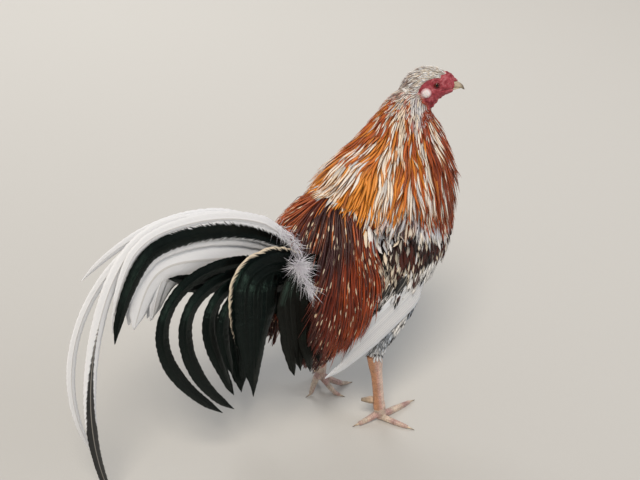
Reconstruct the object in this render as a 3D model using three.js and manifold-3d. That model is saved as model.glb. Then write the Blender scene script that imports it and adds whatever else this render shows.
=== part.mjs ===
// A long-tailed game cock standing at rest, life size, in millimetres.
// It is laid out facing +X, with its left side at +Y, its right foot under X = 0 and the floor at Z = 0.
// The finished group is then moved so that its origin is at the middle of its footprint, on the floor.
import * as THREE from "three";
import { mergeVertices } from "three/addons/utils/BufferGeometryUtils.js";
import Module from "manifold-3d";

const wasm = await Module();
wasm.setup();

// Driving dimensions
const gap = 0.35; // left between neighbouring pieces
const headTurn = -40; // degrees, to the bird's right
const headPlace = [49, 0, 494]; // top of the neck, where the skull sits
const rightFoot = {
  joint: [-1, -51, 11], // where the toes meet
  shank: [-22, -49, 117], // its upper end, at the hock
  heading: 7, // degrees, of the middle toe
  reach: 1, // how much of the toes' length lies level
  hind: 46, // length of the hind toe with its claw
  sink: 0.7, // how far each pad is trimmed to lie flat
};
const leftFoot = {
  joint: [-32, 53, 34],
  shank: [-26, 56, 137],
  heading: -7,
  reach: 0.78,
  hind: 27,
  sink: 1.7,
};
const eyeRadius = 4.4;
const saddleDepth = 10; // of the saddle hackle over the rump
const bladeThickness = 2.2; // of one tail feather
const floorDepth = 60; // of the block that trims the soles flat
const floorWidth = 2000;

// Colours
const white = 0xe9e7e2;
const black = 0x12161a;
const mahogany = 0x7a2a12;
const orange = 0xb4571c;
const spangle = 0x6b5348;
const faceRed = 0xa32b3b;
const lobeWhite = 0xece4e2;
const eyeBrown = 0x2a120c;
const horn = 0x8c7a63;
const shankPink = 0xd9a58a;

const vector = (point) => new THREE.Vector3(...point);
const turn = (degrees) => THREE.MathUtils.degToRad(degrees);
const smoothCurve = (points) => new THREE.CatmullRomCurve3(points.map(vector), false, "centripetal");

// A size that changes smoothly along a piece, through [place, value] pairs with places from 0 to 1.
function ramp(...pairs) {
  const slope = (i) => {
    const before = pairs[Math.max(i - 1, 0)];
    const after = pairs[Math.min(i + 1, pairs.length - 1)];
    return (after[1] - before[1]) / (after[0] - before[0]);
  };
  return (t) => {
    const next = Math.max(1, pairs.findIndex(([place]) => place >= t - 1e-9));
    const [[t0, v0], [t1, v1]] = [pairs[next - 1], pairs[next]];
    const reach = t1 - t0;
    const u = (t - t0) / reach;
    const start = v0 * (1 + 2 * u) * (1 - u) ** 2 + slope(next - 1) * reach * u * (1 - u) ** 2;
    const end = v1 * (3 - 2 * u) * u ** 2 - slope(next) * reach * (1 - u) * u ** 2;
    return start + end;
  };
}

// A closed body round a curve: a capped cylinder whose rings are moved along the curve.
// `wide` is its half width towards `side`, which may swing to `sideEnd` along the way. `over` and `under`
// are its half heights, and `square` says how boxy it is.
function bodyAlong(curve, sizes, grow) {
  const { side, sideEnd = side, wide, over, under = over, sides, steps, square = 2 } = sizes;
  const geometry = new THREE.CylinderGeometry(1, 1, 1, sides, steps);
  const place = geometry.getAttribute("position");
  const round = (value) => Math.sign(value) * Math.abs(value) ** (2 / square);
  for (let i = 0; i < place.count; i += 1) {
    const t = 0.5 - place.getY(i);
    const tangent = curve.getTangentAt(t);
    const aside = vector(side).lerp(vector(sideEnd), t);
    const across = aside.addScaledVector(tangent, -tangent.dot(aside)).normalize();
    const up = new THREE.Vector3().crossVectors(across, tangent);
    const height = place.getZ(i) > 0 ? over(t) : under(t);
    const point = curve
      .getPointAt(t)
      .addScaledVector(across, round(place.getX(i)) * (wide(t) + grow))
      .addScaledVector(up, round(place.getZ(i)) * (height + grow))
      .addScaledVector(tangent, (2 * t - 1) * grow);
    place.setXYZ(i, point.x, point.y, point.z);
  }
  return geometry;
}

// The solid of a closed geometry.
function solidOf(geometry) {
  geometry.deleteAttribute("normal");
  geometry.deleteAttribute("uv");
  const merged = mergeVertices(geometry, 1e-3);
  const triVerts = new Uint32Array(merged.index.array);
  const mesh = { numProp: 3, vertProperties: merged.getAttribute("position").array, triVerts };
  const solid = new wasm.Manifold(new wasm.Mesh(mesh));
  if (solid.volume() > 0) return solid;
  for (let i = 0; i < triVerts.length; i += 3) {
    [triVerts[i + 1], triVerts[i + 2]] = [triVerts[i + 2], triVerts[i + 1]];
  }
  return new wasm.Manifold(new wasm.Mesh(mesh));
}

// The largest body of what is left of a solid once others are cut from it.
function cut(solid, cutters) {
  const left = cutters.reduce((rest, cutter) => rest.subtract(cutter), solid).decompose();
  return left.reduce((best, body) => (body.volume() > best.volume() ? body : best));
}

const bird = new THREE.Group();
const clearances = []; // a slightly grown copy of each piece made so far

// Adds a piece: its own solid, less the clearances of the pieces made before it.
// `shape` gives the solid grown by a distance.
function addPiece(name, shape, colour, roughness = 0.7) {
  const solid = cut(shape(0), clearances);
  clearances.push(shape(gap));
  const { vertProperties, triVerts } = solid.getMesh();
  const geometry = new THREE.BufferGeometry();
  geometry.setAttribute("position", new THREE.BufferAttribute(vertProperties, 3));
  geometry.setIndex(new THREE.BufferAttribute(triVerts, 1));
  geometry.computeVertexNormals();
  const material = new THREE.MeshStandardMaterial({ color: colour, roughness, metalness: 0 });
  const mesh = new THREE.Mesh(geometry, material);
  mesh.name = name;
  bird.add(mesh);
}

const bodyShape = (points, sizes) => (grow) => solidOf(bodyAlong(smoothCurve(points), sizes, grow));

const hands = [
  { name: "right", y: -1, foot: rightFoot },
  { name: "left", y: 1, foot: leftFoot },
];

// Floor: everything that reaches it is trimmed to a small flat at Z = 0.
const floorBlock = new THREE.BoxGeometry(floorWidth, floorWidth, floorDepth);
clearances.push(solidOf(floorBlock.translate(0, 0, -floorDepth / 2)));

// Head: it is built facing +X about the top of the neck, then turned to the side.
const onHead = new THREE.Matrix4().makeRotationZ(turn(headTurn)).setPosition(...headPlace);
const headBall = (sizes, centre) => (grow) => {
  const ball = new THREE.SphereGeometry(1, 8, 6).scale(...sizes.map((size) => size + grow));
  return solidOf(ball.translate(...centre).applyMatrix4(onHead));
};
const headBody = (points, sizes) => (grow) => {
  return solidOf(bodyAlong(smoothCurve(points), sizes, grow).applyMatrix4(onHead));
};

for (const hand of hands) {
  const eyeball = headBall([eyeRadius, eyeRadius, eyeRadius], [27, hand.y * 13.4, 8.5]);
  addPiece(`eye_${hand.name}`, eyeball, eyeBrown, 0.15);
}

for (const hand of hands) {
  const earlobe = headBall([6.4, 3, 6.8], [14.5, hand.y * 17.6, -3]);
  addPiece(`earlobe_${hand.name}`, earlobe, lobeWhite, 0.6);
}

const lowerBeak = {
  side: [0, -1, 0],
  wide: ramp([0, 5.2], [0.5, 3.6], [1, 0.9]),
  over: ramp([0, 2], [1, 0.8]),
  under: ramp([0, 3.4], [0.6, 2.4], [1, 0.7]),
  sides: 8,
  steps: 5,
};
const lowerBeakLine = [[44, 0, -2.6], [54, 0, 0], [61.5, 0, 0.8]];
addPiece("beak_lower", headBody(lowerBeakLine, lowerBeak), horn, 0.4);

const upperBeak = {
  side: [0, -1, 0],
  wide: ramp([0, 6.4], [0.45, 4.6], [0.85, 2.2], [1, 0.8]),
  over: ramp([0, 6.4], [0.45, 4.8], [0.85, 2.2], [1, 0.6]),
  under: ramp([0, 3.4], [0.6, 2.6], [1, 0.8]),
  sides: 8,
  steps: 6,
};
const upperBeakLine = [[43, 0, 5.6], [53.5, 0, 6.2], [61.2, 0, 4.3], [66, 0, 0.9]];
addPiece("beak_upper", headBody(upperBeakLine, upperBeak), horn, 0.4);

const combStub = {
  side: [0, -1, 0],
  wide: ramp([0, 1.6], [0.5, 2.8], [1, 1.4]),
  over: ramp([0, 1.5], [0.45, 4], [0.8, 3], [1, 1.4]),
  sides: 6,
  steps: 5,
};
addPiece("comb_stub", headBody([[29, 0, 23.5], [40, 0, 20], [49.5, 0, 12.8], [55.5, 0, 10]], combStub), faceRed, 0.55);

const skull = {
  side: [0, -1, 0],
  wide: ramp([0, 9], [0.15, 16.5], [0.35, 18.5], [0.58, 17], [0.8, 12.5], [1, 6.6]),
  over: ramp([0, 6.5], [0.15, 16], [0.35, 22.3], [0.58, 23], [0.8, 17.2], [1, 8]),
  under: ramp([0, 10], [0.15, 24], [0.35, 36], [0.58, 37], [0.8, 19], [1, 8]),
  square: 2.1,
  sides: 12,
  steps: 8,
};
const skullLine = [[-14, 0, -2], [10, 0, 4], [32, 0, 5.5], [51, 0, 2.5]];
addPiece("head", headBody(skullLine, skull), faceRed, 0.6);

// Feet. Toe 1 is the hind toe; 2, 3 and 4 run from the inner toe to the outer one.
const toes = [
  { number: 3, splay: 0, length: 66, claw: 11, radius: 5.6 },
  { number: 4, splay: 70, length: 45, claw: 10, radius: 5 },
  { number: 2, splay: -45, length: 42, claw: 10, radius: 5 },
];
const toeTipRadius = 3.3;
const toeArch = 4; // how far below the joint the toes start
const hindSplay = 14;
const claw = { wide: ramp([0, 2.1], [1, 0.5]), over: ramp([0, 2.4], [1, 0.6]), sides: 4, steps: 2 };

const shankSizes = {
  side: [0, 1, 0],
  wide: ramp([0, 9.4], [0.12, 9.2], [0.3, 7], [0.75, 6.8], [0.92, 8.6], [1, 6.5]),
  over: ramp([0, 12], [0.12, 11.6], [0.3, 9.2], [0.75, 8.6], [0.92, 10], [1, 7]),
  sides: 8,
  steps: 7,
};

// Points on a front toe between two distances from the joint, with the toe's sideways direction.
function toeLine({ foot, y }, toe, from, to) {
  const { joint, heading, reach, sink } = foot;
  const bearing = turn(heading + y * toe.splay);
  const forward = [Math.cos(bearing), Math.sin(bearing)];
  const low = toeTipRadius - sink;
  const points = [0, 0.25, 0.5, 0.75, 1].map((share) => {
    const along = from + (to - from) * share;
    const lift = (joint[2] - toeArch - low) * Math.max(0, 1 - along / (toe.length * 0.86)) ** 1.15;
    const dip = Math.max(0, along - toe.length) * -0.16;
    const level = along * reach;
    return [joint[0] + forward[0] * level, joint[1] + forward[1] * level, low + lift + dip];
  });
  return { points, side: [-forward[1], forward[0], 0] };
}

function addShank(hand) {
  const { joint, shank } = hand.foot;
  const sole = [joint[0] + 2, joint[1], joint[2] - 6];
  const bend = vector(shank).lerp(vector(joint), 1 / 3);
  const line = [shank, [bend.x + 1, bend.y, bend.z], joint, sole];
  addPiece(`shank_${hand.name}`, bodyShape(line, shankSizes), shankPink, 0.5);

  const spurHeight = joint[2] + 24;
  const spurRoot = [joint[0] - 4, joint[1] - hand.y, spurHeight];
  const spurTip = [joint[0] - 23, joint[1] - hand.y * 18, spurHeight - 2];
  const spurRadius = ramp([0, 6.2], [0.8, 4.8], [1, 2.6]);
  const spur = { side: [0, 0, 1], wide: spurRadius, over: spurRadius, sides: 6, steps: 2 };
  addPiece(`spur_${hand.name}`, bodyShape([spurRoot, spurTip], spur), horn, 0.5);
}

function addFrontToe(hand, toe) {
  const tip = toeLine(hand, toe, toe.length - 3, toe.length + toe.claw);
  const clawShape = bodyShape(tip.points, { ...claw, side: tip.side });
  addPiece(`claw_${hand.name}_${toe.number}`, clawShape, horn, 0.45);

  const whole = toeLine(hand, toe, 2, toe.length);
  const radius = ramp([0, toe.radius], [0.6, toe.radius - 1], [0.9, toeTipRadius], [1, toeTipRadius - 1]);
  const sizes = { side: whole.side, wide: radius, over: radius, sides: 6, steps: 5 };
  const toeShape = bodyShape(whole.points, sizes);
  addPiece(`toe_${hand.name}_${toe.number}`, toeShape, shankPink, 0.5);
}

function addHindToe(hand) {
  const { joint, heading, hind } = hand.foot;
  const back = turn(heading + 180 + hand.y * hindSplay);
  const at = (along, z) => [joint[0] + Math.cos(back) * along, joint[1] + Math.sin(back) * along, z];
  const side = [-Math.sin(back), Math.cos(back), 0];
  const clawLine = [at(hind - 12, 3.4), at(hind - 4, 2.2), at(hind, 1)];
  addPiece(`claw_${hand.name}_1`, bodyShape(clawLine, { ...claw, side }), horn, 0.45);

  const line = [at(3, joint[2] + 2), at(hind * 0.4, joint[2] * 0.62), at(hind - 10, 3)];
  const radius = ramp([0, 5.2], [0.6, 4.2], [1, 3]);
  const toeShape = bodyShape(line, { side, wide: radius, over: radius, sides: 6, steps: 4 });
  addPiece(`toe_${hand.name}_1`, toeShape, shankPink, 0.5);
}

for (const hand of hands) {
  addShank(hand);
  toes.forEach((toe) => addFrontToe(hand, toe));
  addHindToe(hand);
}

// Trunk, from the rump to the breast. Each row is [place, half width, height over, height under].
const trunkRows = [
  [0, 14, 16, 16],
  [0.08, 23, 32, 50],
  [0.15, 31, 51, 80],
  [0.25, 50, 69, 110],
  [0.35, 61, 82, 127],
  [0.6, 67, 84, 131],
  [0.74, 65, 74, 118],
  [0.87, 55, 56, 96],
  [0.95, 38, 38, 66],
  [1, 14, 14, 16],
];
const trunkSizes = {
  side: [0, -1, 0],
  wide: ramp(...trunkRows.map(([place, wide]) => [place, wide])),
  over: ramp(...trunkRows.map(([place, , over]) => [place, over])),
  under: ramp(...trunkRows.map(([place, , , under]) => [place, under])),
  square: 2.15,
  sides: 16,
  steps: 11,
};
const trunkShape = bodyShape([[-160, 0, 290], [-20, 0, 286], [114, 0, 284]], trunkSizes);
addPiece("trunk", trunkShape, spangle, 0.85);

// Neck with its cape of hackle, which hangs over the shoulders.
const neckSizes = {
  side: [0, -1, 0],
  wide: ramp([0, 15], [0.16, 30], [0.36, 47], [0.58, 62], [0.8, 72], [1, 76]),
  over: ramp([0, 15], [0.16, 33], [0.36, 60], [0.58, 84], [0.8, 102], [1, 110]),
  under: ramp([0, 17], [0.16, 38], [0.36, 62], [0.58, 88], [0.8, 107], [1, 123]),
  square: 2.2,
  sides: 16,
  steps: 8,
};
const neckLine = [[42, -3, 491], [39, 0, 462], [38, 0, 430], [34, 0, 392], [23, 0, 352], [15, 0, 322]];
addPiece("neck", bodyShape(neckLine, neckSizes), orange);

// Wings, folded along the sides: the bow of small feathers, and the flight feathers under it.
const wingBow = {
  side: [0, 1, 0],
  wide: ramp([0, 6], [0.2, 10], [0.6, 10], [1, 4]),
  over: ramp([0, 20], [0.2, 44], [0.55, 47], [1, 20]),
  sides: 10,
  steps: 7,
};
const wingFlights = {
  side: [0, 1, 0],
  wide: ramp([0, 3], [0.3, 4.5], [0.8, 3], [1, 1]),
  over: ramp([0, 12], [0.25, 27], [0.6, 26], [0.85, 17], [1, 5]),
  sides: 8,
  steps: 8,
};
for (const hand of hands) {
  const at = (x, y, z) => [x, hand.y * y, z];
  const bowLine = [at(90, 50, 302), at(56, 65, 291), at(8, 70, 272), at(-46, 66, 246), at(-90, 54, 218)];
  addPiece(`wing_${hand.name}`, bodyShape(bowLine, wingBow), spangle, 0.8);

  const quills = [at(56, 66, 242), at(15, 72, 217), at(-34, 69, 181), at(-78, 61, 143), at(-112, 52, 111)];
  addPiece(`flights_${hand.name}`, bodyShape(quills, wingFlights), white);
}

// Thighs, from under the wings to the hocks.
const thighSizes = {
  side: [0, 1, 0],
  wide: ramp([0, 26], [0.4, 25], [0.8, 15], [1, 10.5]),
  over: ramp([0, 32], [0.4, 29], [0.8, 17], [1, 12]),
  sides: 12,
  steps: 6,
};
for (const hand of hands) {
  const [x, y, z] = hand.foot.shank;
  const upper = [[x + 52, hand.y * 42, 232], [x + 36, hand.y * 46, 185]];
  const line = [...upper, [x + 14, y, z + 26], [x + 1, y, z - 1]];
  addPiece(`thigh_${hand.name}`, bodyShape(line, thighSizes), white, 0.9);
}

// Saddle hackle: long narrow feathers that lie over the rump and hang down each flank as a curtain.
const rumpBlock = { size: [84, 90, 120], centre: [-100, 45.2, 348] };
const curtain = {
  sideEnd: [1, 0, -0.1],
  wide: ramp([0, 28], [0.3, 46], [0.7, 41], [1, 21]),
  over: ramp([0, 5], [0.3, 9], [0.7, 8], [1, 3]),
  sides: 10,
  steps: 6,
};
for (const hand of hands) {
  const at = (x, y, z) => [x, hand.y * y, z];
  const side = at(1, 0.3, 0.2);
  const hanging = bodyShape(
    [at(-90, 54, 322), at(-95, 62, 282), at(-100, 69, 230), at(-119, 63, 180), at(-141, 50, 140)],
    { ...curtain, side },
  );
  const saddle = (grow) => {
    const size = rumpBlock.size.map((length) => length + 2 * grow);
    const block = solidOf(new THREE.BoxGeometry(...size).translate(...at(...rumpBlock.centre)));
    return trunkShape(saddleDepth + grow).intersect(block).add(hanging(grow));
  };
  addPiece(`saddle_${hand.name}`, saddle, mahogany, 0.75);
}

// The path of a tail feather. It starts at `root` towards the rear, climbing at `rise` degrees, and turns
// to `fall` degrees by its tip. Most of the turn comes about the fraction `at`, over a stretch set by
// `soft`, and `curl` degrees more are spread evenly along it.
const plumeSteps = 48;
function plumeLine({ root, length, rise, fall, at, soft, curl = 0, aside }) {
  const turned = (u) => Math.tanh((u - at) / soft);
  const step = length / plumeSteps;
  const points = [root];
  for (let i = 0; i < plumeSteps; i += 1) {
    const u = (i + 0.5) / plumeSteps;
    const share = (turned(u) - turned(0)) / (turned(1) - turned(0));
    const slope = turn(rise + (fall - rise) * share + curl * u);
    const [x, y, z] = points[i];
    points.push([x - Math.cos(slope) * step, y + aside / plumeSteps, z + Math.sin(slope) * step]);
  }
  return points.filter((_, i) => i % 3 === 0);
}

function addPlume(name, plume, { wide, colour, thick = bladeThickness, sides = 4, steps = 14 }) {
  const sizes = {
    side: [0, 1, 0],
    wide: ramp([0, 1.2], [0.15, thick / 2], [0.85, thick / 2], [1, 0.4]),
    over: ramp([0, 2], [0.14, wide * 0.8], [0.4, wide], [0.75, wide * 0.85], [1, 1.2]),
    sides,
    steps,
  };
  addPiece(name, bodyShape(plumeLine(plume), sizes), colour, 0.35);
}

// The long sickles of the middle of the tail; the dark one trails to the floor.
const sickles = {
  dark: {
    root: [-143, -9, 304],
    length: 673, rise: 39, fall: -29, at: 0.39, soft: 0.08, curl: -84, aside: 1,
  },
  green: {
    root: [-146, -13, 297],
    length: 374, rise: 45, fall: 3, at: 0.67, soft: 0.05, curl: -85, aside: -3,
  },
  short: {
    root: [-141, 9, 299],
    length: 350, rise: 48, fall: -40, at: 0.73, soft: 1.2, aside: 5,
  },
  long: {
    root: [-146, 5, 299],
    length: 593, rise: 49, fall: -27, at: 0.46, soft: 0.31, curl: -90, aside: 2,
  },
};
const sickleWidths = { dark: 9.5, green: 14, short: 9, long: 6 }; // half widths
for (const [name, sickle] of Object.entries(sickles)) {
  const colour = name === "green" ? black : white;
  addPlume(`sickle_${name}`, sickle, { wide: sickleWidths[name], colour, steps: 18 });
}

// Main tail feathers, one stack on each side, and the black ones under them.
for (const { name, y } of hands) {
  const upper = {
    root: [-150, y * 5, 294],
    length: 290, rise: 12, fall: -73, at: 0.73, soft: 0.09, aside: y,
  };
  addPlume(`tail_upper_${name}`, upper, { wide: 20, colour: white });
  const lower = {
    root: [-149, y * 6, 266],
    length: 205, rise: 10, fall: 20, at: 0.5, soft: 0.5, aside: y * 7,
  };
  addPlume(`tail_lower_${name}`, lower, { wide: 12, colour: black, steps: 6 });
}

// Side hangers: black sickles that bend down and curl forward again.
const hangers = {
  right_1: {
    root: [-144, -18, 281],
    length: 446, rise: 26, fall: -94, at: 0.49, soft: 0.18, curl: -45, aside: -4,
  },
  right_2: {
    root: [-144, -22, 273],
    length: 391, rise: 28, fall: -50, at: 0.47, soft: 0.11, curl: -90, aside: -6,
  },
  right_3: {
    root: [-143, -26, 265],
    length: 302, rise: 19, fall: -114, at: 0.49, soft: 0.16, aside: -8,
  },
  right_4: {
    root: [-140, -30, 264],
    length: 242, rise: 15, fall: -107, at: 0.54, soft: 0.17, aside: -10,
  },
  left_1: {
    root: [-144, 18, 276],
    length: 332, rise: 13, fall: -43, at: 0.46, soft: 0.09, curl: -90, aside: 6,
  },
  left_2: {
    root: [-140, 22, 275],
    length: 292, rise: -8, fall: -83, at: 0.4, soft: 0.08, curl: -35, aside: 8,
  },
};
for (const [name, hanger] of Object.entries(hangers)) {
  addPlume(`hanger_${name}`, hanger, { wide: 11.5, colour: black });
}

// Tail coverts, two overlapping bunches on each side.
const coverts = {
  rear_right: {
    root: [-131, -33, 297],
    length: 311, rise: 26, fall: -92, at: 0.32, soft: 0.09, aside: -19,
  },
  front_right: {
    root: [-128, -44, 290],
    length: 184, rise: 40, fall: -95, at: 0.02, soft: 0.2, aside: -22,
  },
  rear_left: {
    root: [-134, 33, 280],
    length: 265, rise: -30, fall: -101, at: 0.23, soft: 0.27, aside: 19,
  },
  front_left: {
    root: [-124, 43, 272],
    length: 170, rise: -50, fall: -92, at: 0.1, soft: 0.2, aside: 20,
  },
};
const covertWidths = { rear: 33, front: 28 }; // half width of one bunch
for (const [name, bunch] of Object.entries(coverts)) {
  const wide = covertWidths[name.split("_")[0]];
  addPlume(`coverts_${name}`, bunch, { wide, thick: 9, colour: black, sides: 8, steps: 9 });
}

// Moves the bird so that its origin is under the middle of its box.
const box = new THREE.Box3().setFromObject(bird);
const middle = box.getCenter(new THREE.Vector3());
bird.position.set(-middle.x, -middle.y, -box.min.z);

const part = new THREE.Group();
part.add(bird);
export default part;
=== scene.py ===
import math

import bmesh
import bpy
import numpy as np
from mathutils import Matrix, Vector, noise
from mathutils.bvhtree import BVHTree


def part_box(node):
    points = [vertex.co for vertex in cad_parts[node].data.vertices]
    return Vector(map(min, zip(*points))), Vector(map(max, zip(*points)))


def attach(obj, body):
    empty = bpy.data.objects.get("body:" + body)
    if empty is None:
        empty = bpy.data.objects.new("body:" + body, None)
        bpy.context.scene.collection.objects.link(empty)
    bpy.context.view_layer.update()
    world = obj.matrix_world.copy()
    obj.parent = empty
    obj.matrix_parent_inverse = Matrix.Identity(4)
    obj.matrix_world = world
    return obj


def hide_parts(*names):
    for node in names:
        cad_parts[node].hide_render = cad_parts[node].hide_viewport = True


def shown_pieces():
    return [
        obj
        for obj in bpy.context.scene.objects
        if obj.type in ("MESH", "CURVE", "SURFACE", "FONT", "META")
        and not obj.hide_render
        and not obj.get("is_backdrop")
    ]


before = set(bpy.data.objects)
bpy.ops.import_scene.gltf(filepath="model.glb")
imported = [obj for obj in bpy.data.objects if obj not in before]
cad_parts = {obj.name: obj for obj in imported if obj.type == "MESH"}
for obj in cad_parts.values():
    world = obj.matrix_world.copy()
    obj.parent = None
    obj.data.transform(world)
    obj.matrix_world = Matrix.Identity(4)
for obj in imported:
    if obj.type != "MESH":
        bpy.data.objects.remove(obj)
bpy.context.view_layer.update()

# A long-tailed game cock, life size. The bird is laid out in millimetres facing +X with its left side at +Y,
# as its solids were, and `place` moves it to the frame.
mm = 0.001
draw = np.random.default_rng(41)
trunkLow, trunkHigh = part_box("trunk")
trunkMiddle = -0.023  # metres, the middle of the trunk in the bird's own layout
birdOrigin = np.array([(trunkLow.x + trunkHigh.x) / 2 - trunkMiddle, (trunkLow.y + trunkHigh.y) / 2, 0])


def place(points):
    return np.asarray(points, float) * mm + birdOrigin


def layout(points):  # the way back, from the frame to the bird's own millimetres
    return (np.asarray(points, float) - birdOrigin) / mm


def unit(vectors):
    return vectors / np.maximum(np.linalg.norm(vectors, axis=-1, keepdims=True), 1e-9)


def smooth(low, high, value):
    t = np.clip((value - low) / (high - low), 0, 1)
    return t * t * (3 - 2 * t)


def linear(code):  # sRGB hex to the linear colour that shaders take
    parts = [int(code[i:i + 2], 16) / 255 for i in (1, 3, 5)]
    return tuple(c / 12.92 if c <= 0.04045 else ((c + 0.055) / 1.055) ** 2.4 for c in parts) + (1.0,)


def toneOf(colour):  # a colour given by its name in the palette, by its hex code, or as numbers
    return np.array(linear(palette.get(colour, colour))[:3]) if isinstance(colour, str) else colour


def fill(node, sockets):  # links or sets a node's sockets; a node given for one stands for its first output
    for name, value in sockets.items():
        value = value.outputs[0] if isinstance(value, bpy.types.Node) else value
        if isinstance(value, bpy.types.NodeSocket):
            node.id_data.links.new(value, node.inputs[name])
        else:
            node.inputs[name].default_value = value


def addNode(tree, kind, sockets=None, **settings):
    node = tree.nodes.new("ShaderNode" + kind)
    for name, value in settings.items():
        setattr(node, name, value)
    fill(node, sockets or {})
    return node


# settings of the nodes that mix two colours
blended = {"data_type": "RGBA"}
tinted = {"data_type": "RGBA", "blend_type": "MULTIPLY"}


def newMaterial(name):
    material = bpy.data.materials.new(name)
    material.use_nodes = True
    return material, material.node_tree, material.node_tree.nodes["Principled BSDF"]


def addObject(name, data):
    made = bpy.data.objects.new(name, data)
    bpy.context.collection.objects.link(made)
    return made


# camera, light and floor
eyeLevel = {
    "target": (-7.94, 105.2, 225.6),  # bird millimetres
    "azimuth": -40, "elevation": 28, "roll": 4.4,  # degrees
    "distance": 2158.8, "lens": 83.745,
}


def setCamera():
    turn, rise, roll = (math.radians(eyeLevel[k]) for k in ("azimuth", "elevation", "roll"))
    back = Vector((math.sin(turn) * math.cos(rise), -math.cos(turn) * math.cos(rise), math.sin(rise)))
    flat = Vector((math.cos(turn), math.sin(turn), 0))
    over = back.cross(flat)
    right = flat * math.cos(roll) + over * math.sin(roll)
    up = over * math.cos(roll) - flat * math.sin(roll)
    camera = addObject("camera", bpy.data.cameras.new("camera"))
    spot = Vector(place(eyeLevel["target"])) + back * eyeLevel["distance"] * mm
    camera.matrix_world = Matrix.Translation(spot) @ Matrix((right, up, back)).transposed().to_4x4()
    camera.data.sensor_width = 36
    camera.data.lens = eyeLevel["lens"]
    camera.data.clip_start, camera.data.clip_end = 0.05, 60
    bpy.context.scene.camera = camera


studio = {
    "world": "#f2f5fb", "worldStrength": 0.4,
    "sun": ((-0.85, -0.82, 1.4), 22, 2.35, "#fff5e8"),  # from where, degrees across, strength, colour
    "lamps": [  # name, place in metres from the bird's middle, size, watts, colour
        ("fill", (2.2, -1.6, 1.5), 1.8, 14, "#f2f6ff"),
        ("back", (0.8, 2.2, 1.9), 1.6, 22, "#ffffff"),
    ],
    "aim": (0, 0, 0.25),  # where the lamps point, in metres
    "floor": "#c2c0bb", "floorWide": 30,  # metres from its middle to its edge
}


def hang(name, light, facing, spot=(0, 0, 0)):
    holder = addObject(name, light)
    holder.location = spot
    holder.rotation_mode = "QUATERNION"
    holder.rotation_quaternion = facing.to_track_quat("Z", "Y")


def setStudio():
    world = bpy.data.worlds.new("studio air")
    bpy.context.scene.world = world
    world.use_nodes = True
    fill(world.node_tree.nodes["Background"], {"Color": linear(studio["world"]),
                                               "Strength": studio["worldStrength"]})
    away, wide, strength, colour = studio["sun"]
    sun = bpy.data.lights.new("key", "SUN")
    sun.energy, sun.angle, sun.color = strength, math.radians(wide), linear(colour)[:3]
    hang("key", sun, Vector(away))
    for name, spot, size, watts, colour in studio["lamps"]:
        lamp = bpy.data.lights.new(name, "AREA")
        lamp.shape = "DISK"
        lamp.size, lamp.energy = size, watts
        lamp.color = linear(colour)[:3]
        hang(name, lamp, Vector(spot) - Vector(studio["aim"]), spot)
    corners = np.array([(-1, -1, 0), (1, -1, 0), (1, 1, 0), (-1, 1, 0)]) * studio["floorWide"]
    floor = addObject("floor", meshOf("floor", corners, [(0, 1, 2, 3)]))
    floor.data.materials.append(floorPaint())
    floor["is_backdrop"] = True
    bpy.context.scene.view_settings.view_transform = "Standard"


def floorPaint():
    # matt wall paint, rolled: a plain pale ground with a faint orange-peel
    material, tree, shader = newMaterial("matt paint, rolled")
    where = addNode(tree, "TexCoord")
    peel = addNode(tree, "TexNoise", {"Vector": where.outputs["Object"], "Scale": 400.0})
    bump = addNode(tree, "Bump", {"Height": peel, "Distance": 0.0002})
    fill(shader, {"Normal": bump, "Base Color": linear(studio["floor"]), "Roughness": 0.9})
    return material


# mesh helpers
def meshOf(name, points, quads):
    mesh = bpy.data.meshes.new(name)
    quads = np.asarray(quads, np.int32)
    mesh.vertices.add(len(points))
    mesh.vertices.foreach_set("co", np.asarray(points, np.float32).ravel())
    mesh.loops.add(quads.size)
    mesh.loops.foreach_set("vertex_index", quads.ravel())
    mesh.polygons.add(len(quads))
    mesh.polygons.foreach_set("loop_start", np.arange(0, quads.size, quads.shape[1], dtype=np.int32))
    smoothShade(mesh)
    mesh.update(calc_edges=True)
    return mesh


def read(rows, field, wide=1, kind=np.int32):  # a field of a mesh's rows, `wide` numbers from each
    flat = np.empty(len(rows) * wide, kind)
    rows.foreach_get(field, flat)
    return flat.reshape(-1, wide) if wide > 1 else flat


def pointsOf(mesh):
    return read(mesh.vertices, "co", 3, np.float32).astype(float)


def movePoints(mesh, points):
    mesh.vertices.foreach_set("co", points.astype(np.float32).ravel())
    mesh.update()


def normalsOf(mesh):
    return read(mesh.vertex_normals, "vector", 3, np.float32).astype(float)


def edgesOf(mesh):
    return read(mesh.edges, "vertices", 2)


def trianglesOf(mesh):
    mesh.calc_loop_triangles()
    return read(mesh.loop_triangles, "vertices", 3)


def paint(mesh, name, values):  # one value, vector or colour for each vertex
    values = np.asarray(values, np.float32)
    kind, field = {1: ("FLOAT", "value"), 3: ("FLOAT_VECTOR", "vector"), 4: ("FLOAT_COLOR", "color")}[
        1 if values.ndim == 1 else values.shape[1]]
    mesh.attributes.new(name, kind, "POINT").data.foreach_set(field, values.ravel())


def unwrapTo(mesh, spots):  # the bake's map, from one spot for each vertex
    corners = read(mesh.loops, "vertex_index")
    layer = mesh.uv_layers.new(name="OFBake")
    layer.data.foreach_set("uv", np.asarray(spots, np.float32)[corners].ravel())


def smoothShade(mesh):
    mesh.polygons.foreach_set("use_smooth", np.ones(len(mesh.polygons), bool))


def finishPiece(name, mesh, materials, nodes=()):
    piece = addObject(name, mesh)
    for material in materials:
        mesh.materials.append(material)
    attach(piece, "root")
    if nodes:
        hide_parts(*nodes)
    return piece


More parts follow.
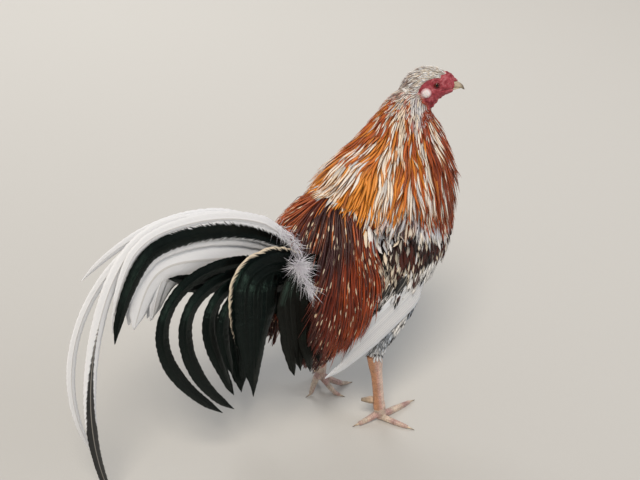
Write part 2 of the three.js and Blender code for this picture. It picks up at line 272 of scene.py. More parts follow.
def relax(points, edges, amount, rounds):  # evens a surface out without shrinking it
    count = len(points)
    degree = np.maximum(np.bincount(edges.ravel(), minlength=count), 1)[:, None]
    for strength in [0.5, -0.52] * rounds:
        total = np.stack([
            np.bincount(edges[:, 0], points[edges[:, 1], axis], count)
            + np.bincount(edges[:, 1], points[edges[:, 0], axis], count)
            for axis in range(3)], axis=1)
        points = points + strength * amount[:, None] * (total / degree - points)
    return points


def spread(values, edges, rounds):  # blurs a number over its neighbours
    count = len(values)
    degree = np.bincount(edges.ravel(), minlength=count) + 1
    for _ in range(rounds):
        values = (values + np.bincount(edges[:, 0], values[edges[:, 1]], count)
                  + np.bincount(edges[:, 1], values[edges[:, 0]], count)) / degree
    return values


def noiseAt(points, scale=1.0):  # smooth random numbers, one for each point, -1 to 1
    return np.array([noise.noise(Vector(p) * scale) for p in points.tolist()])


# the head's own layout: its beak along +X, its left at +Y, from the top of the neck
headPlace = np.array([49, 0, 494])
headTurn = math.radians(-40)


def rotated(points, angle):  # about the upright axis
    x, y, z = np.atleast_2d(np.asarray(points, float)).T
    c, s = math.cos(angle), math.sin(angle)
    return np.stack([c * x - s * y, s * x + c * y, z], axis=1)


def onHead(points):  # bird millimetres to head millimetres
    return rotated(np.asarray(points, float) - headPlace, -headTurn)


def offHead(points):
    return rotated(points, headTurn) + headPlace


# the skin: one surface in place of all the nodes of flesh
fleshParts = {  # part: start of its nodes' names, how deep its coat lies in millimetres
    "head": ("head", 1.2), "comb": ("comb_stub", 0), "lobe": ("earlobe", 0), "neck": ("neck", 4.5),
    "trunk": ("trunk", 4), "wing": ("wing", 3), "thigh": ("thigh", 4), "saddle": ("saddle", 1.5),
    "leg": ("shank", 0), "toe": ("toe", 0),
}
partNames = list(fleshParts)


def among(label, *parts):  # where a label is one of these parts
    return np.isin(label, [partNames.index(part) for part in parts])


skinSettings = {"inflate": 0.8, "voxel": 2.3}  # millimetres


def nodeShape(name):  # a node's points and triangles, welded
    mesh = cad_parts[name].data
    points, corners = pointsOf(mesh), trianglesOf(mesh)
    _, first, back = np.unique(np.round(points / 1e-5).astype(int), axis=0, return_index=True,
                               return_inverse=True)
    return points[first], back.ravel()[corners]


def outward(points, triangles):  # area-weighted normals
    a, b, c = (points[triangles[:, i]] for i in range(3))
    face = np.cross(b - a, c - a)
    total = np.stack([sum(np.bincount(triangles[:, i], face[:, axis], len(points)) for i in range(3))
                      for axis in range(3)], axis=1)
    return unit(total)


def joined(names):  # several nodes' points and triangles as one, and how many triangles each has
    points, triangles, counts, start = [], [], [], 0
    for name in names:
        p, t = nodeShape(name)
        points.append(p)
        triangles.append(t + start)
        counts.append(len(t))
        start += len(p)
    return np.concatenate(points), np.concatenate(triangles), counts


def gatherFlesh():
    names, labels = zip(*((name, label) for name in sorted(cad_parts)
                          for label,
                          (prefix, _) in enumerate(fleshParts.values()) if name.startswith(prefix)))
    points, triangles, counts = joined(names)
    return points, triangles, np.repeat(labels, counts), names


def remeshed(points, triangles, voxel, name="work"):
    work = addObject(name, meshOf(name, points, triangles))
    shrink = work.modifiers.new("voxels", "REMESH")
    shrink.mode, shrink.voxel_size = "VOXEL", voxel
    made = bpy.data.meshes.new_from_object(work.evaluated_get(bpy.context.evaluated_depsgraph_get()))
    bpy.data.objects.remove(work)
    return made


def refine(mesh, wanted):  # splits every edge whose two ends are wanted
    work = bmesh.new()
    work.from_mesh(mesh)
    work.verts.ensure_lookup_table()
    edges = [e for e in work.edges if wanted[e.verts[0].index] and wanted[e.verts[1].index]]
    bmesh.ops.subdivide_edges(work, edges=edges, cuts=1, use_grid_fill=True)
    work.to_mesh(mesh)
    work.free()


def nearestOn(tree, points):
    found = [tree.find_nearest(p) for p in points.tolist()]
    where = np.array([f[0] for f in found], float)
    facing = np.array([f[1] for f in found], float)
    index = np.array([f[2] for f in found])
    return where, facing, index


def faceAmount(head):  # 1 on the bare skin of the face, 0 under feathers
    x, _, z = head.T
    ring = np.sqrt(((x - 27) / 23.5) ** 2 + ((z + 5.5) / 23.5) ** 2)
    around = 1 - smooth(0.93, 1.03, ring)
    front = smooth(31, 34, x) * (1 - smooth(20, 22.5, z))
    return np.maximum(around, front)


eyeCentre = np.array([27, 13.4, 8.5])  # head millimetres, mirrored for the right eye
eyeRadius = 4.4
eyeAxis = unit(np.array([0.16, 1, 0.1]))
lidSettings = {"wide": 3.75, "high": 2.85, "thick": 0.75, "reach": 2.5}


def sculptFace(head, normal):
    x, y, z = head.T
    side = np.sign(y)
    own = np.stack([x, np.abs(y), z], axis=1)
    face = faceAmount(head)

    grain = noiseAt(own, 0.55)
    fine = noiseAt(own, 1.3)
    folds = np.sin(x * 1.15 + 1.4 * noiseAt(own, 0.16) + z * 0.12)
    low = smooth(-6, -16, z)
    lift = face * (0.42 * grain + 0.26 * fine + 0.55 * low * folds)
    brow = np.exp(-((x - 28) / 8) ** 2 - ((z - 15.2) / 2.4) ** 2)
    cheek = np.exp(-((x - 24) / 8) ** 2 - ((z + 3) / 5) ** 2)
    gape = smooth(33, 37, x) * np.exp(-((z - 0.4 - 0.12 * (x - 40)) / 1.1) ** 2)
    lift += 0.9 * brow + 1.1 * cheek - 1.1 * gape
    moved = own + np.stack([normal[:, 0], normal[:, 1] * side, normal[:, 2]], axis=1) * lift[:, None]

    # lids: the skin wraps the eyeball and leaves an almond opening
    flat = unit(np.cross(np.array([0, 0, 1]), eyeAxis))  # towards the beak
    flat = flat if flat[0] > 0 else -flat
    tall = np.cross(flat, eyeAxis)
    tall = tall if tall[2] > 0 else -tall
    ray = moved - eyeCentre
    length = np.linalg.norm(ray, axis=1)
    near = (length < 12) & (own[:, 1] > 6)
    across, up, out = ray @ flat, ray @ tall, ray @ eyeAxis
    bend = 1 + 0.16 * across / lidSettings["wide"]  # the front corner is the sharper one
    ring = np.sqrt((across / lidSettings["wide"]) ** 2 + (up * bend / lidSettings["high"]) ** 2)
    shift = np.where((ring > 0.8) & (ring < 1.2) & near, 1 / np.maximum(ring, 0.1), 1)
    across, up = across * shift, up * shift
    ring = np.where(shift != 1, 1, ring)
    plane = across ** 2 + up ** 2
    shell = eyeRadius + lidSettings["thick"] * smooth(0.6, 1.05, ring)
    lid = np.sqrt(np.maximum(shell ** 2 - plane, 0.5))
    lid += 0.35 * np.exp(-((ring - 1.22) / 0.14) ** 2) - 0.3 * np.exp(-((ring - 1.75) / 0.16) ** 2)
    lid = np.where(ring < 0.99, 1.0, lid)  # inside the opening the skin drops behind the eyeball
    blend = 1 - smooth(1.35, lidSettings["reach"], ring)
    wrapped = eyeCentre + across[:, None] * flat + up[:, None] * tall + (
        lid * blend + out * (1 - blend))[:, None] * eyeAxis
    lidded = near & (ring < lidSettings["reach"]) & (out > -2)
    moved = np.where(lidded[:, None], wrapped, moved)
    return moved * np.stack([np.ones_like(side), side, np.ones_like(side)], axis=1)


feet = {  # joint of the toes, hock, heading in degrees and side, as in the solids
    "right": {"joint": (-1, -51, 11), "hock": (-22, -49, 117), "heading": 7, "y": -1},
    "left": {"joint": (-32, 53, 34), "hock": (-26, 56, 137), "heading": -7, "y": 1},
}
scutePitch = {"shank": 4.6, "toe": 3.4}  # millimetres from one scute to the next


def legMarks(bird):
    # how far along its limb each point is, how much it faces the scutes, and their pitch there
    along = np.zeros(len(bird))
    front = np.zeros(len(bird))
    for foot in feet.values():
        mine = bird[:, 1] * foot["y"] > 0
        joint, hock = np.array(foot["joint"], float), np.array(foot["hock"], float)
        rel = bird - joint
        axis = unit(hock - joint)
        up = rel @ axis
        heading = math.radians(foot["heading"])
        facing = unit(rel - up[:, None] * axis) @ np.array([math.cos(heading), math.sin(heading), 0])
        shank = up > 12
        along = np.where(mine, np.where(shank, up, -np.linalg.norm(rel[:, :2], axis=1)), along)
        front = np.where(mine, np.where(shank, facing, 0.6), front)
    return along, front, np.where(along > 0, scutePitch["shank"], scutePitch["toe"])


def sculptLegs(bird, normal):
    along, front, pitch = legMarks(bird)
    step = (along / pitch) % 1
    plate = np.where(along > 0, smooth(-0.1, 0.35, front), smooth(0.1, 0.5, normal[:, 2]))
    ridge = 0.5 * (1 - step) - 0.55 * np.exp(-((step - 0.02) / 0.09) ** 2)
    sole = (along < 0) & (normal[:, 2] < -0.2)  # stays level
    lift = plate * ridge * 0.75 + (1 - plate) * 0.45 * noiseAt(bird, 0.45) * ~sole
    return bird + normal * lift[:, None]


def buildSkin():
    points, triangles, labels, names = gatherFlesh()
    tree = BVHTree.FromPolygons(points.tolist(), triangles.tolist())
    inflated = points + outward(points, triangles) * skinSettings["inflate"] * mm
    mesh = remeshed(inflated, triangles, skinSettings["voxel"] * mm, "skin")
    print("skin: remeshed", len(mesh.vertices))

    def measure():
        p = pointsOf(mesh)
        near, _, index = nearestOn(tree, p)
        return p, near, labels[index]

    fine = ("head", "comb", "lobe", "leg", "toe")
    p, near, label = measure()
    edges = edgesOf(mesh)
    movePoints(mesh, relax(p, edges, np.where(among(label, *fine), 0.25, 1.0), 14))

    refine(mesh, among(label, *fine))
    p, near, label = measure()
    head = onHead(layout(p))
    isHead = among(label, "head", "comb", "lobe")
    bare = isHead & (faceAmount(head) > 0.02) & (head[:, 0] > 1)
    refine(mesh, bare | among(label, "leg", "toe") & (layout(p)[:, 2] < 150))
    p, near, label = measure()
    head = onHead(layout(p))
    own = head * [1, 0, 1] + np.abs(head) * [0, 1, 0]
    refine(mesh, (np.linalg.norm(own - eyeCentre, axis=1) < 9.5) & (own[:, 1] > 8))
    p, near, label = measure()
    print("skin: refined", len(mesh.vertices))

    # fleshy parts go back to their solids' surface, the rest sinks by the coat's depth
    snug = among(label, *fine).astype(float)
    edges = edgesOf(mesh)
    snug = spread(snug, edges, 4)
    p = p + (near - p) * snug[:, None]
    p = relax(p, edges, np.where(snug > 0.5, 0.9, 0.6), 5)
    movePoints(mesh, p)
    normal = normalsOf(mesh)
    depth = np.array([depth for _, depth in fleshParts.values()], float)[label]
    head = onHead(layout(p))
    isHead = among(label, "head", "comb", "lobe")
    face = np.where(isHead, faceAmount(head), 0)
    depth = np.where(isHead, np.where(among(label, "head"), depth * (1 - face), 0), depth)
    depth = spread(depth, edges, 12)
    p = p - normal * depth[:, None] * mm

    bird = layout(p)
    mine = isHead & (head[:, 0] > 0)
    local = onHead(bird[mine])
    localNormal = rotated(normal[mine], -headTurn)
    comb = among(label[mine], "comb")
    lump = noiseAt(local, 0.3) + 0.5 * noiseAt(local, 0.7)
    local = local + localNormal * np.where(comb, 1.1 * lump + 0.3, 0)[:, None]
    bird[mine] = offHead(sculptFace(local, localNormal))
    mine = among(label, "leg", "toe")
    bird[mine] = sculptLegs(bird[mine], normal[mine])
    bird[:, 2] = np.maximum(bird[:, 2], 0.05)
    movePoints(mesh, place(bird))
    return mesh, label, face, names


# where colours lie on the bird
palette = {
    "apricot": "#e28c2a", "orange": "#cb6119", "rust": "#a9420f", "mahogany": "#6b220a", "liver": "#3b1007",
    "plum": "#40171a", "soot": "#150c09", "jet": "#020303", "cream": "#ecdcc4", "milk": "#e9e7e4",
    "snow": "#f3f4f6", "ash": "#aab3be", "slate": "#4a4f55", "straw": "#dcb985", "stone": "#8f8a7c",
}


def mixTone(a, b, share):
    share = np.asarray(share)[..., None]
    return toneOf(a) * (1 - share) + toneOf(b) * share


def patchNoise(bird, size, seed=0.0):  # smooth patches about `size` millimetres across, -1 to 1
    return noiseAt(bird / size + [seed, 0, 0]) * 1.6


def ramp(rows, share):
    places, values = np.array(rows, float).T
    return np.interp(share, places, values)


def rampOver(rows, count):  # the same, evenly stepped from end to end
    return ramp(rows, np.linspace(0, 1, count))


capeDrop = [(-120, 0), (-92, 0), (-77, 2), (-58, 3), (-40, 14), (-10, 18), (8, 12), (34, 25), (58, 34),
            (110, 34)]


def capeReach(bird):  # millimetres of neck left above the hem of the cape of hackles, along the bird
    rim = (bird[:, 0] - 15) * 0.26 + (bird[:, 2] - 322) * 0.97
    return rim + ramp(capeDrop, bird[:, 0])


def groundTone(bird, label):  # the ground colour of skin and feathers alike
    x, y, z = bird.T
    patch = patchNoise(bird, 22)
    wide = patchNoise(bird, 45, 5.0)
    crown = mixTone("cream", "snow", np.clip(0.5 + patch, 0, 1))
    nape = smooth(478, 503, z)
    frontness = smooth(0, 72, x * 0.85 - y * 0.45 + patch * 10)
    gold = mixTone("orange", "apricot", np.clip(0.45 + wide * 0.9 + 0.4 * smooth(20, -40, x), 0, 1))
    hackle = mixTone(gold, mixTone("rust", "mahogany", np.clip(0.2 + wide, 0, 0.9)), frontness * 0.92)
    hackle = mixTone(hackle, "rust", smooth(-40, 10, x) * (1 - frontness) * 0.45)
    hackle = mixTone(hackle, "rust", smooth(400, 455, z) * 0.7)
    neck = mixTone(hackle, crown, nape * 0.85)

    red = mixTone("rust", "mahogany", np.clip(0.5 + patch * 0.8, 0, 1))
    glossy = mixTone("plum", "liver", np.clip(0.35 + patch * 0.5, 0, 1))
    onBack = smooth(-76, -92, x) * smooth(4, -12, y) * smooth(-60, -47, y) * smooth(298, 318, z)
    back = mixTone(red, glossy, onBack)
    wing = mixTone("soot", "mahogany", np.clip(0.06 + wide * 0.6, 0, 0.45))
    mantle = mixTone(back, wing, smooth(-60, -46, x) * smooth(20, 34, np.abs(y)))
    neck = mixTone(neck, mantle, smooth(24, 14, capeReach(bird)) * smooth(70, 40, x))

    breast = mixTone("soot", "mahogany", np.clip(0.3 + patch * 0.6, 0, 1))
    under = mixTone("slate", "milk", np.clip(0.4 + patch, 0, 1))
    trunk = mixTone(back, breast, smooth(330, 270, z) * smooth(-70, -40, x))
    trunk = mixTone(trunk, wing, smooth(-62, -48, x) * smooth(20, 32, np.abs(y)) * smooth(262, 275, z))
    trunk = mixTone(trunk, under, smooth(225, 195, z))
    trunk = mixTone(trunk, "ash", smooth(-132, -148, x))

    reach = x + (z - 288) * 0.25 + patch * 8
    saddle = mixTone(back, "mahogany", smooth(-66, -128, reach) * (1 - onBack) * 0.9)
    saddle = mixTone(saddle, "soot", smooth(-122, -158, reach) * (1 - onBack) * 0.6)
    thigh = mixTone("milk", "ash", np.clip(0.55 + patch, 0, 1))
    skinTone = np.broadcast_to(toneOf("orange"), back.shape)
    choices = {"head": crown, "comb": skinTone, "lobe": skinTone, "neck": neck, "trunk": trunk, "wing": wing,
               "thigh": thigh, "saddle": saddle, "leg": skinTone, "toe": skinTone}
    chosen = np.zeros_like(back)
    for index, part in enumerate(partNames):
        chosen[label == index] = choices[part][label == index]
    return chosen


# the unwrap of the skin, on which every feather has its own small patch
atlas = {"columns": 6, "rows": 4, "cover": 520, "patch": 0.003}  # cover: millimetres across one cell


def atlasSpots(bird, normal, label):
    ways = np.argmax(np.abs(normal), axis=1)
    sign = (np.take_along_axis(normal, ways[:, None], 1)[:, 0] > 0).astype(int)
    column = ways * 2 + sign
    legs = among(label, "leg", "toe", "thigh")
    row = np.where(legs, np.where(bird[:, 1] > 0, 2, 3), np.where(among(label, "wing", "saddle"), 1, 0))
    first = np.where(ways == 0, bird[:, 1], bird[:, 0]) + 200
    second = np.where(ways == 2, bird[:, 1] + 200, bird[:, 2])
    u = (column + 0.03 + 0.94 * np.clip(first / atlas["cover"], 0, 1)) / atlas["columns"]
    v = (row + 0.03 + 0.94 * np.clip(second / (atlas["cover"] + 20), 0, 1)) / atlas["rows"]
    return np.stack([u, v], axis=1)


# feathers
hackleApex = np.array([38, 0, 500])
lieRows = [  # place and lie of the coat on the right side, mirrored to the left
    (60, 0, 372, -0.5, 0, -0.8), (-10, 0, 372, -0.9, 0, -0.35), (-60, -8, 372, -0.85, -0.1, -0.5),
    (-20, -45, 355, -0.5, -0.35, -0.79), (-60, -50, 335, -0.1, -0.25, -0.95),
    (-95, -45, 345, -0.1, -0.45, -0.88),
    (-120, -30, 330, -0.45, -0.3, -0.84), (-62, -68, 290, 0.2, -0.1, -0.97), (-92, -72, 250, 0, -0.05, -1),
    (-115, -68, 190, -0.25, 0.02, -0.97), (-135, -55, 150, -0.4, 0.1, -0.9), (108, 0, 310, 0.1, 0, -1),
    (95, -40, 280, -0.15, -0.05, -1), (70, -55, 235, -0.5, 0, -0.85), (80, 0, 205, -0.8, 0, -0.6),
    (20, 0, 160, -1, 0, -0.1), (-60, 0, 185, -0.9, 0, 0.3), (-120, 0, 235, -0.7, 0, 0.6),
    (-10, -66, 205, -0.6, 0, -0.8), (5, -80, 280, -0.1, -0.05, -1), (60, -72, 300, -0.05, -0.1, -1),
    (-60, -76, 250, -0.3, 0, -0.95), (-10, -60, 180, -0.3, 0, -0.95), (-15, -50, 130, -0.1, 0, -1),
]


def bodyLie(bird):
    rows = np.array(lieRows)
    rows = np.concatenate([rows, rows * [1, -1, 1, 1, -1, 1]])
    away = np.linalg.norm(bird[:, None, :] - rows[None, :, :3], axis=2)
    weight = 1 / (away + 8) ** 3.5
    return unit((weight[:, :, None] * unit(rows[:, 3:])[None]).sum(axis=1))


def hackleLie(bird):
    radial = unit(bird - hackleApex)
    around = unit(np.cross(radial, [0, 0, 1.0]))
    swirl = np.array([noise.noise(Vector(p) / 24) for p in bird.tolist()])
    radial = unit(radial + around * (0.5 * swirl * smooth(500, 440, bird[:, 2]))[:, None])
    high = smooth(458, 482, bird[:, 2])[:, None]  # close to the head the feathers hang straight down
    radial = unit(radial * (1 - high) + np.array([-0.35, 0.2, -1]) * high)
    low = smooth(335, 300, bird[:, 2])[:, None]
    return unit(radial * (1 - low) + np.array([-0.05, 0, -1]) * low)


def headLie(bird):
    head = onHead(bird)
    fall = -0.25 - 0.9 * smooth(12, -14, head[:, 0]) - 2 * smooth(-10, -22, head[:, 2])
    rearward = np.stack([-np.ones(len(bird)), 0 * head[:, 0], fall], axis=1)
    return unit(rotated(rearward, headTurn))


lies = {"hackle": hackleLie, "head": headLie, "body": bodyLie}


def scatter(points, gaps):  # keeps points that stay their gap away from those kept before
    cell = float(gaps.max())
    around = [(i, j, k) for i in (-1, 0, 1) for j in (-1, 0, 1) for k in (-1, 0, 1)]
    grid, kept = {}, []
    for index, ((x, y, z), gap) in enumerate(zip(points.tolist(), gaps.tolist())):
        i, j, k = int(x // cell), int(y // cell), int(z // cell)
        nearby = (spot for di, dj, dk in around for spot in grid.get((i + di, j + dj, k + dk), ()))
        if all((a - x) ** 2 + (b - y) ** 2 + (c - z) ** 2 >= gap ** 2 for a, b, c in nearby):
            grid.setdefault((i, j, k), []).append((x, y, z))
            kept.append(index)
    return np.array(kept)


class Skin:  # what feathers need to know of the surface they grow on
    def __init__(self, mesh, label):
        self.points, self.normals = pointsOf(mesh), normalsOf(mesh)
        self.triangles = trianglesOf(mesh)
        self.label = label
        self.tree = BVHTree.FromPolygons(self.points.tolist(), self.triangles.tolist())
        a, b, c = (self.points[self.triangles[:, i]] for i in range(3))
        self.area = np.linalg.norm(np.cross(b - a, c - a), axis=1) / 2
        self.over = bridged(self)

    def sample(self, wanted, count):  # evenly spread roots where `wanted` holds at all three corners
        ok = wanted[self.triangles].all(axis=1)
        odds = self.area * ok
        which = draw.choice(len(self.triangles), count, p=odds / odds.sum())
        u, v = draw.random(count), draw.random(count)
        flip = u + v > 1
        u, v = np.where(flip, 1 - u, u), np.where(flip, 1 - v, v)
        w = 1 - u - v
        corners = self.triangles[which]
        mix = lambda values: (values[corners[:, 0]] * u[:, None] + values[corners[:, 1]] * v[:, None]
                              + values[corners[:, 2]] * w[:, None])
        return mix(self.points), unit(mix(self.normals)), self.label[corners[:, 0]]


bridgeGap = 15  # millimetres; hollows narrower than twice this are bridged by the long feathers


def bridged(skin):  # the skin grown by the gap: what lies the gap inside it has no narrow hollows
    mesh = remeshed(skin.points + skin.normals * bridgeGap * mm, skin.triangles, 4 * mm, "bridge")
    points = relax(pointsOf(mesh), edgesOf(mesh), np.ones(len(mesh.vertices)), 8)
    tree = BVHTree.FromPolygons(points.tolist(), trianglesOf(mesh).tolist())
    bpy.data.meshes.remove(mesh)
    return tree


def flatTo(normal, vectors):
    return unit(vectors - (vectors * normal).sum(axis=1, keepdims=True) * normal)


def walkOver(tree, inset, roots, normals, length, rise, coat):
    # the midrib of every feather, walked over the skin along the lie of the coat
    count, steps = len(roots), coat["steps"]
    spine = np.empty((steps + 1, count, 3))
    ups = np.empty_like(spine)
    spot, normal = roots + normals * rise[:, :1] * mm, normals.copy()
    swing = draw.normal(0, coat["stray"], count)[:, None]
    heading = None
    free = np.zeros(count, bool)  # past a rim, where the skin turns away and the feather hangs on by itself
    for k in range(steps + 1):
        spine[k], ups[k] = spot, normal
        if k == steps:
            break
        lie = lies[coat["lie"]](layout(spot))
        wanted = flatTo(normal, lie)
        wanted = flatTo(normal, wanted + np.cross(normal, wanted) * swing)
        wanted = np.where(free[:, None], lie, wanted)
        heading = wanted if heading is None else unit(heading * 0.45 + wanted * 0.55)
        guess = spot + heading * (length[:, None] / steps) * mm
        near, facing, _ = nearestOn(tree, guess)
        near = near - facing * inset * mm
        share = (k + 1) / steps
        low = rise[:, 0] + (rise[:, 1] - rise[:, 0]) * share
        height = ((guess - near) * facing).sum(axis=1) / mm
        free = ((facing * heading).sum(axis=1) > 0.35) & (height > low * 0.5)
        free |= (facing[:, 2] < -0.35) & (height > 0.3)
        high = low + coat["float"] * share
        height = np.maximum(height, low) - np.maximum(height - high, 0) * 0.3
        snapped = near + facing * height[:, None] * mm
        if inset:  # the bridged surface cuts sharp edges short, so the skin itself is asked too
            bare, out, _ = nearestOn(skin.tree, snapped)
            short = (low - ((snapped - bare) * out).sum(axis=1) / mm) * ((out * facing).sum(axis=1) > 0.3)
            snapped = snapped + facing * np.clip(short, 0, 5)[:, None] * mm
        normal = flatTo(heading, np.where(free[:, None], normal, unit(normal * 0.5 + facing * 0.5)))
        spot = np.where(free[:, None], guess, snapped)
    return ironed(spine, ups)


def ironed(spine, ups):  # feathers that buckle over a rim are drawn straight again
    way = unit(np.diff(spine, axis=0))
    turn = 1 - (way[1:] * way[:-1]).sum(axis=2).min(axis=0)
    twist = 1 - (ups[1:] * ups[:-1]).sum(axis=2).min(axis=0)
    bent = np.maximum(turn, twist) > 0.2
    for _ in range(8):
        for rows in (spine, ups):
            rows[1:-1, bent] = (rows[:-2, bent] + rows[2:, bent]) / 4 + rows[1:-1, bent] / 2
    return spine, ups


def vaneMesh(name, spine, ups, width, outline, thick, droop, seeds, spots, paints):
    # closed vanes of four points a ring: left edge, ridge, right edge and underside
    rings, count = spine.shape[:2]
    shares = np.linspace(0, 1, rings)
    along = np.gradient(spine, axis=0)
    tangent = unit(along)
    side = unit(np.cross(ups, tangent))
    up = unit(np.cross(tangent, side))
    profile = np.interp(shares, *np.array(outline).T)[:, None, None]
    half = width[None, :, None] * profile / 2 * mm
    ridge = thick * np.interp(shares, [0, 0.2, 0.7, 1], [0.8, 1, 0.8, 0.25])[:, None, None] * mm
    sag = droop * half
    drop = up * sag
    points = np.stack([spine - side * half - drop, spine + up * ridge * 0.6, spine + side * half - drop,
                       spine - up * (ridge * 0.4 + sag * 0.5)], axis=2)
    points = points.transpose(1, 0, 2, 3).reshape(-1, 3)
    base = (np.arange(count) * rings * 4)[:, None, None]
    ring = (np.arange(rings - 1) * 4)[None, :, None]
    corner = np.arange(4)[None, None, :]
    a = base + ring + corner
    b = base + ring + (corner + 1) % 4
    quads = np.stack([a, b, b + 4, a + 4], axis=-1).reshape(-1, 4)
    first = base[:, 0] + np.array([[3, 2, 1, 0]])
    last = base[:, 0] + (rings - 1) * 4 + np.array([[0, 1, 2, 3]])
    mesh = meshOf(name, points, np.concatenate([quads, first, last]))
    across = np.tile([-1, 0, 1, 0], rings * count)
    share = np.tile(np.repeat(shares, 4), count)
    each = lambda values: np.repeat(values, rings * 4, axis=0)
    paint(mesh, "vane", np.stack([across, share, each(seeds)], axis=1))
    for key, colours in paints.items():
        paint(mesh, key, each(colours))
    length = np.linalg.norm(np.diff(spine, axis=0), axis=2).sum(axis=0) / mm
    paint(mesh, "reach", np.stack([each(width), each(length), each(seeds)], axis=1))
    patch = np.stack([across * 0.5, share - 0.5], axis=1) * atlas["patch"]
    unwrapTo(mesh, np.clip(each(spots) + patch, 0, 1))
    return mesh


def withStrength(colour, strength):
    colour = np.broadcast_to(toneOf(colour), (len(strength), 3))
    return np.concatenate([colour, np.asarray(strength)[:, None]], axis=1)


def valueAt(value, bird):  # a setting that is a number, or a function of the place
    return value(bird) if callable(value) else np.full(len(bird), float(value))


def growCoat(name, coat, colours, wanted):
    # one piece of coat: roots, size of each feather, midribs, vanes
    roots, normals, label = skin.sample(wanted, coat["candidates"])
    bird = layout(roots)
    kept = scatter(bird, valueAt(coat["gap"], bird))
    roots, normals, label, bird = roots[kept], normals[kept], label[kept], bird[kept]
    seeds = draw.random(len(roots))
    length = valueAt(coat["length"], bird) * draw.normal(1, coat.get("vary", 0.12), len(roots)).clip(0.6, 1.4)
    width = valueAt(coat["width"], bird) * draw.normal(1, 0.12, len(roots)).clip(0.6, 1.4)
    atRoot, atTip = coat["rise"]
    rise = np.stack([np.full(len(roots), atRoot), atTip * (0.7 + 0.6 * draw.random(len(roots)))], axis=1)
    tree, inset = (skin.over, bridgeGap) if coat.get("bridges") else (skin.tree, 0)
    spine, ups = walkOver(tree, inset, roots, normals, length, rise, coat)
    if "cling" in coat:  # feathers whose tips would stand off the skin are left out
        off = np.linalg.norm(spine[-1] - nearestOn(skin.tree, spine[-1])[0], axis=1) / mm
        held = off < coat["cling"](bird)
        spine, ups = spine[:, held], ups[:, held]
        normals, label, bird, seeds, width = (each[held] for each in (normals, label, bird, seeds, width))
    mesh = vaneMesh(name, spine, ups, width, coat["outline"], coat["thick"], coat.get("droop", 0.3), seeds,
                    atlasSpots(bird, normals, label), colours(bird, label))
    print(name, len(bird), "feathers", len(mesh.polygons) * 2, "triangles")
    finishPiece(name, mesh, [featherKeratin(coat["material"], {**plainLook, **coat["look"]})])


# feather materials
def vaneLines(tree, lean, spin):
    # where a spot lies on its vane, and lines that slant from the shaft towards the tip
    vane = addNode(tree, "Attribute", attribute_name="vane")
    reach = addNode(tree, "Attribute", attribute_name="reach")
    split = addNode(tree, "SeparateXYZ", {"Vector": vane.outputs["Vector"]})
    size = addNode(tree, "SeparateXYZ", {"Vector": reach.outputs["Vector"]})
    across, along, seed = (split.outputs[k] for k in "XYZ")
    aside = addNode(tree, "Math", {0: across}, operation="ABSOLUTE")
    lengthwise = addNode(tree, "Math", {0: along, 1: size.outputs["Y"]}, operation="MULTIPLY")
    crosswise = addNode(tree, "Math", {0: aside, 1: size.outputs["X"]}, operation="MULTIPLY")
    slant = addNode(tree, "Math", {0: crosswise, 1: lean, 2: lengthwise}, operation="MULTIPLY_ADD")
    shifted = addNode(tree, "Math", {0: seed, 1: spin, 2: slant}, operation="MULTIPLY_ADD")
    return across, along, seed, aside, shifted


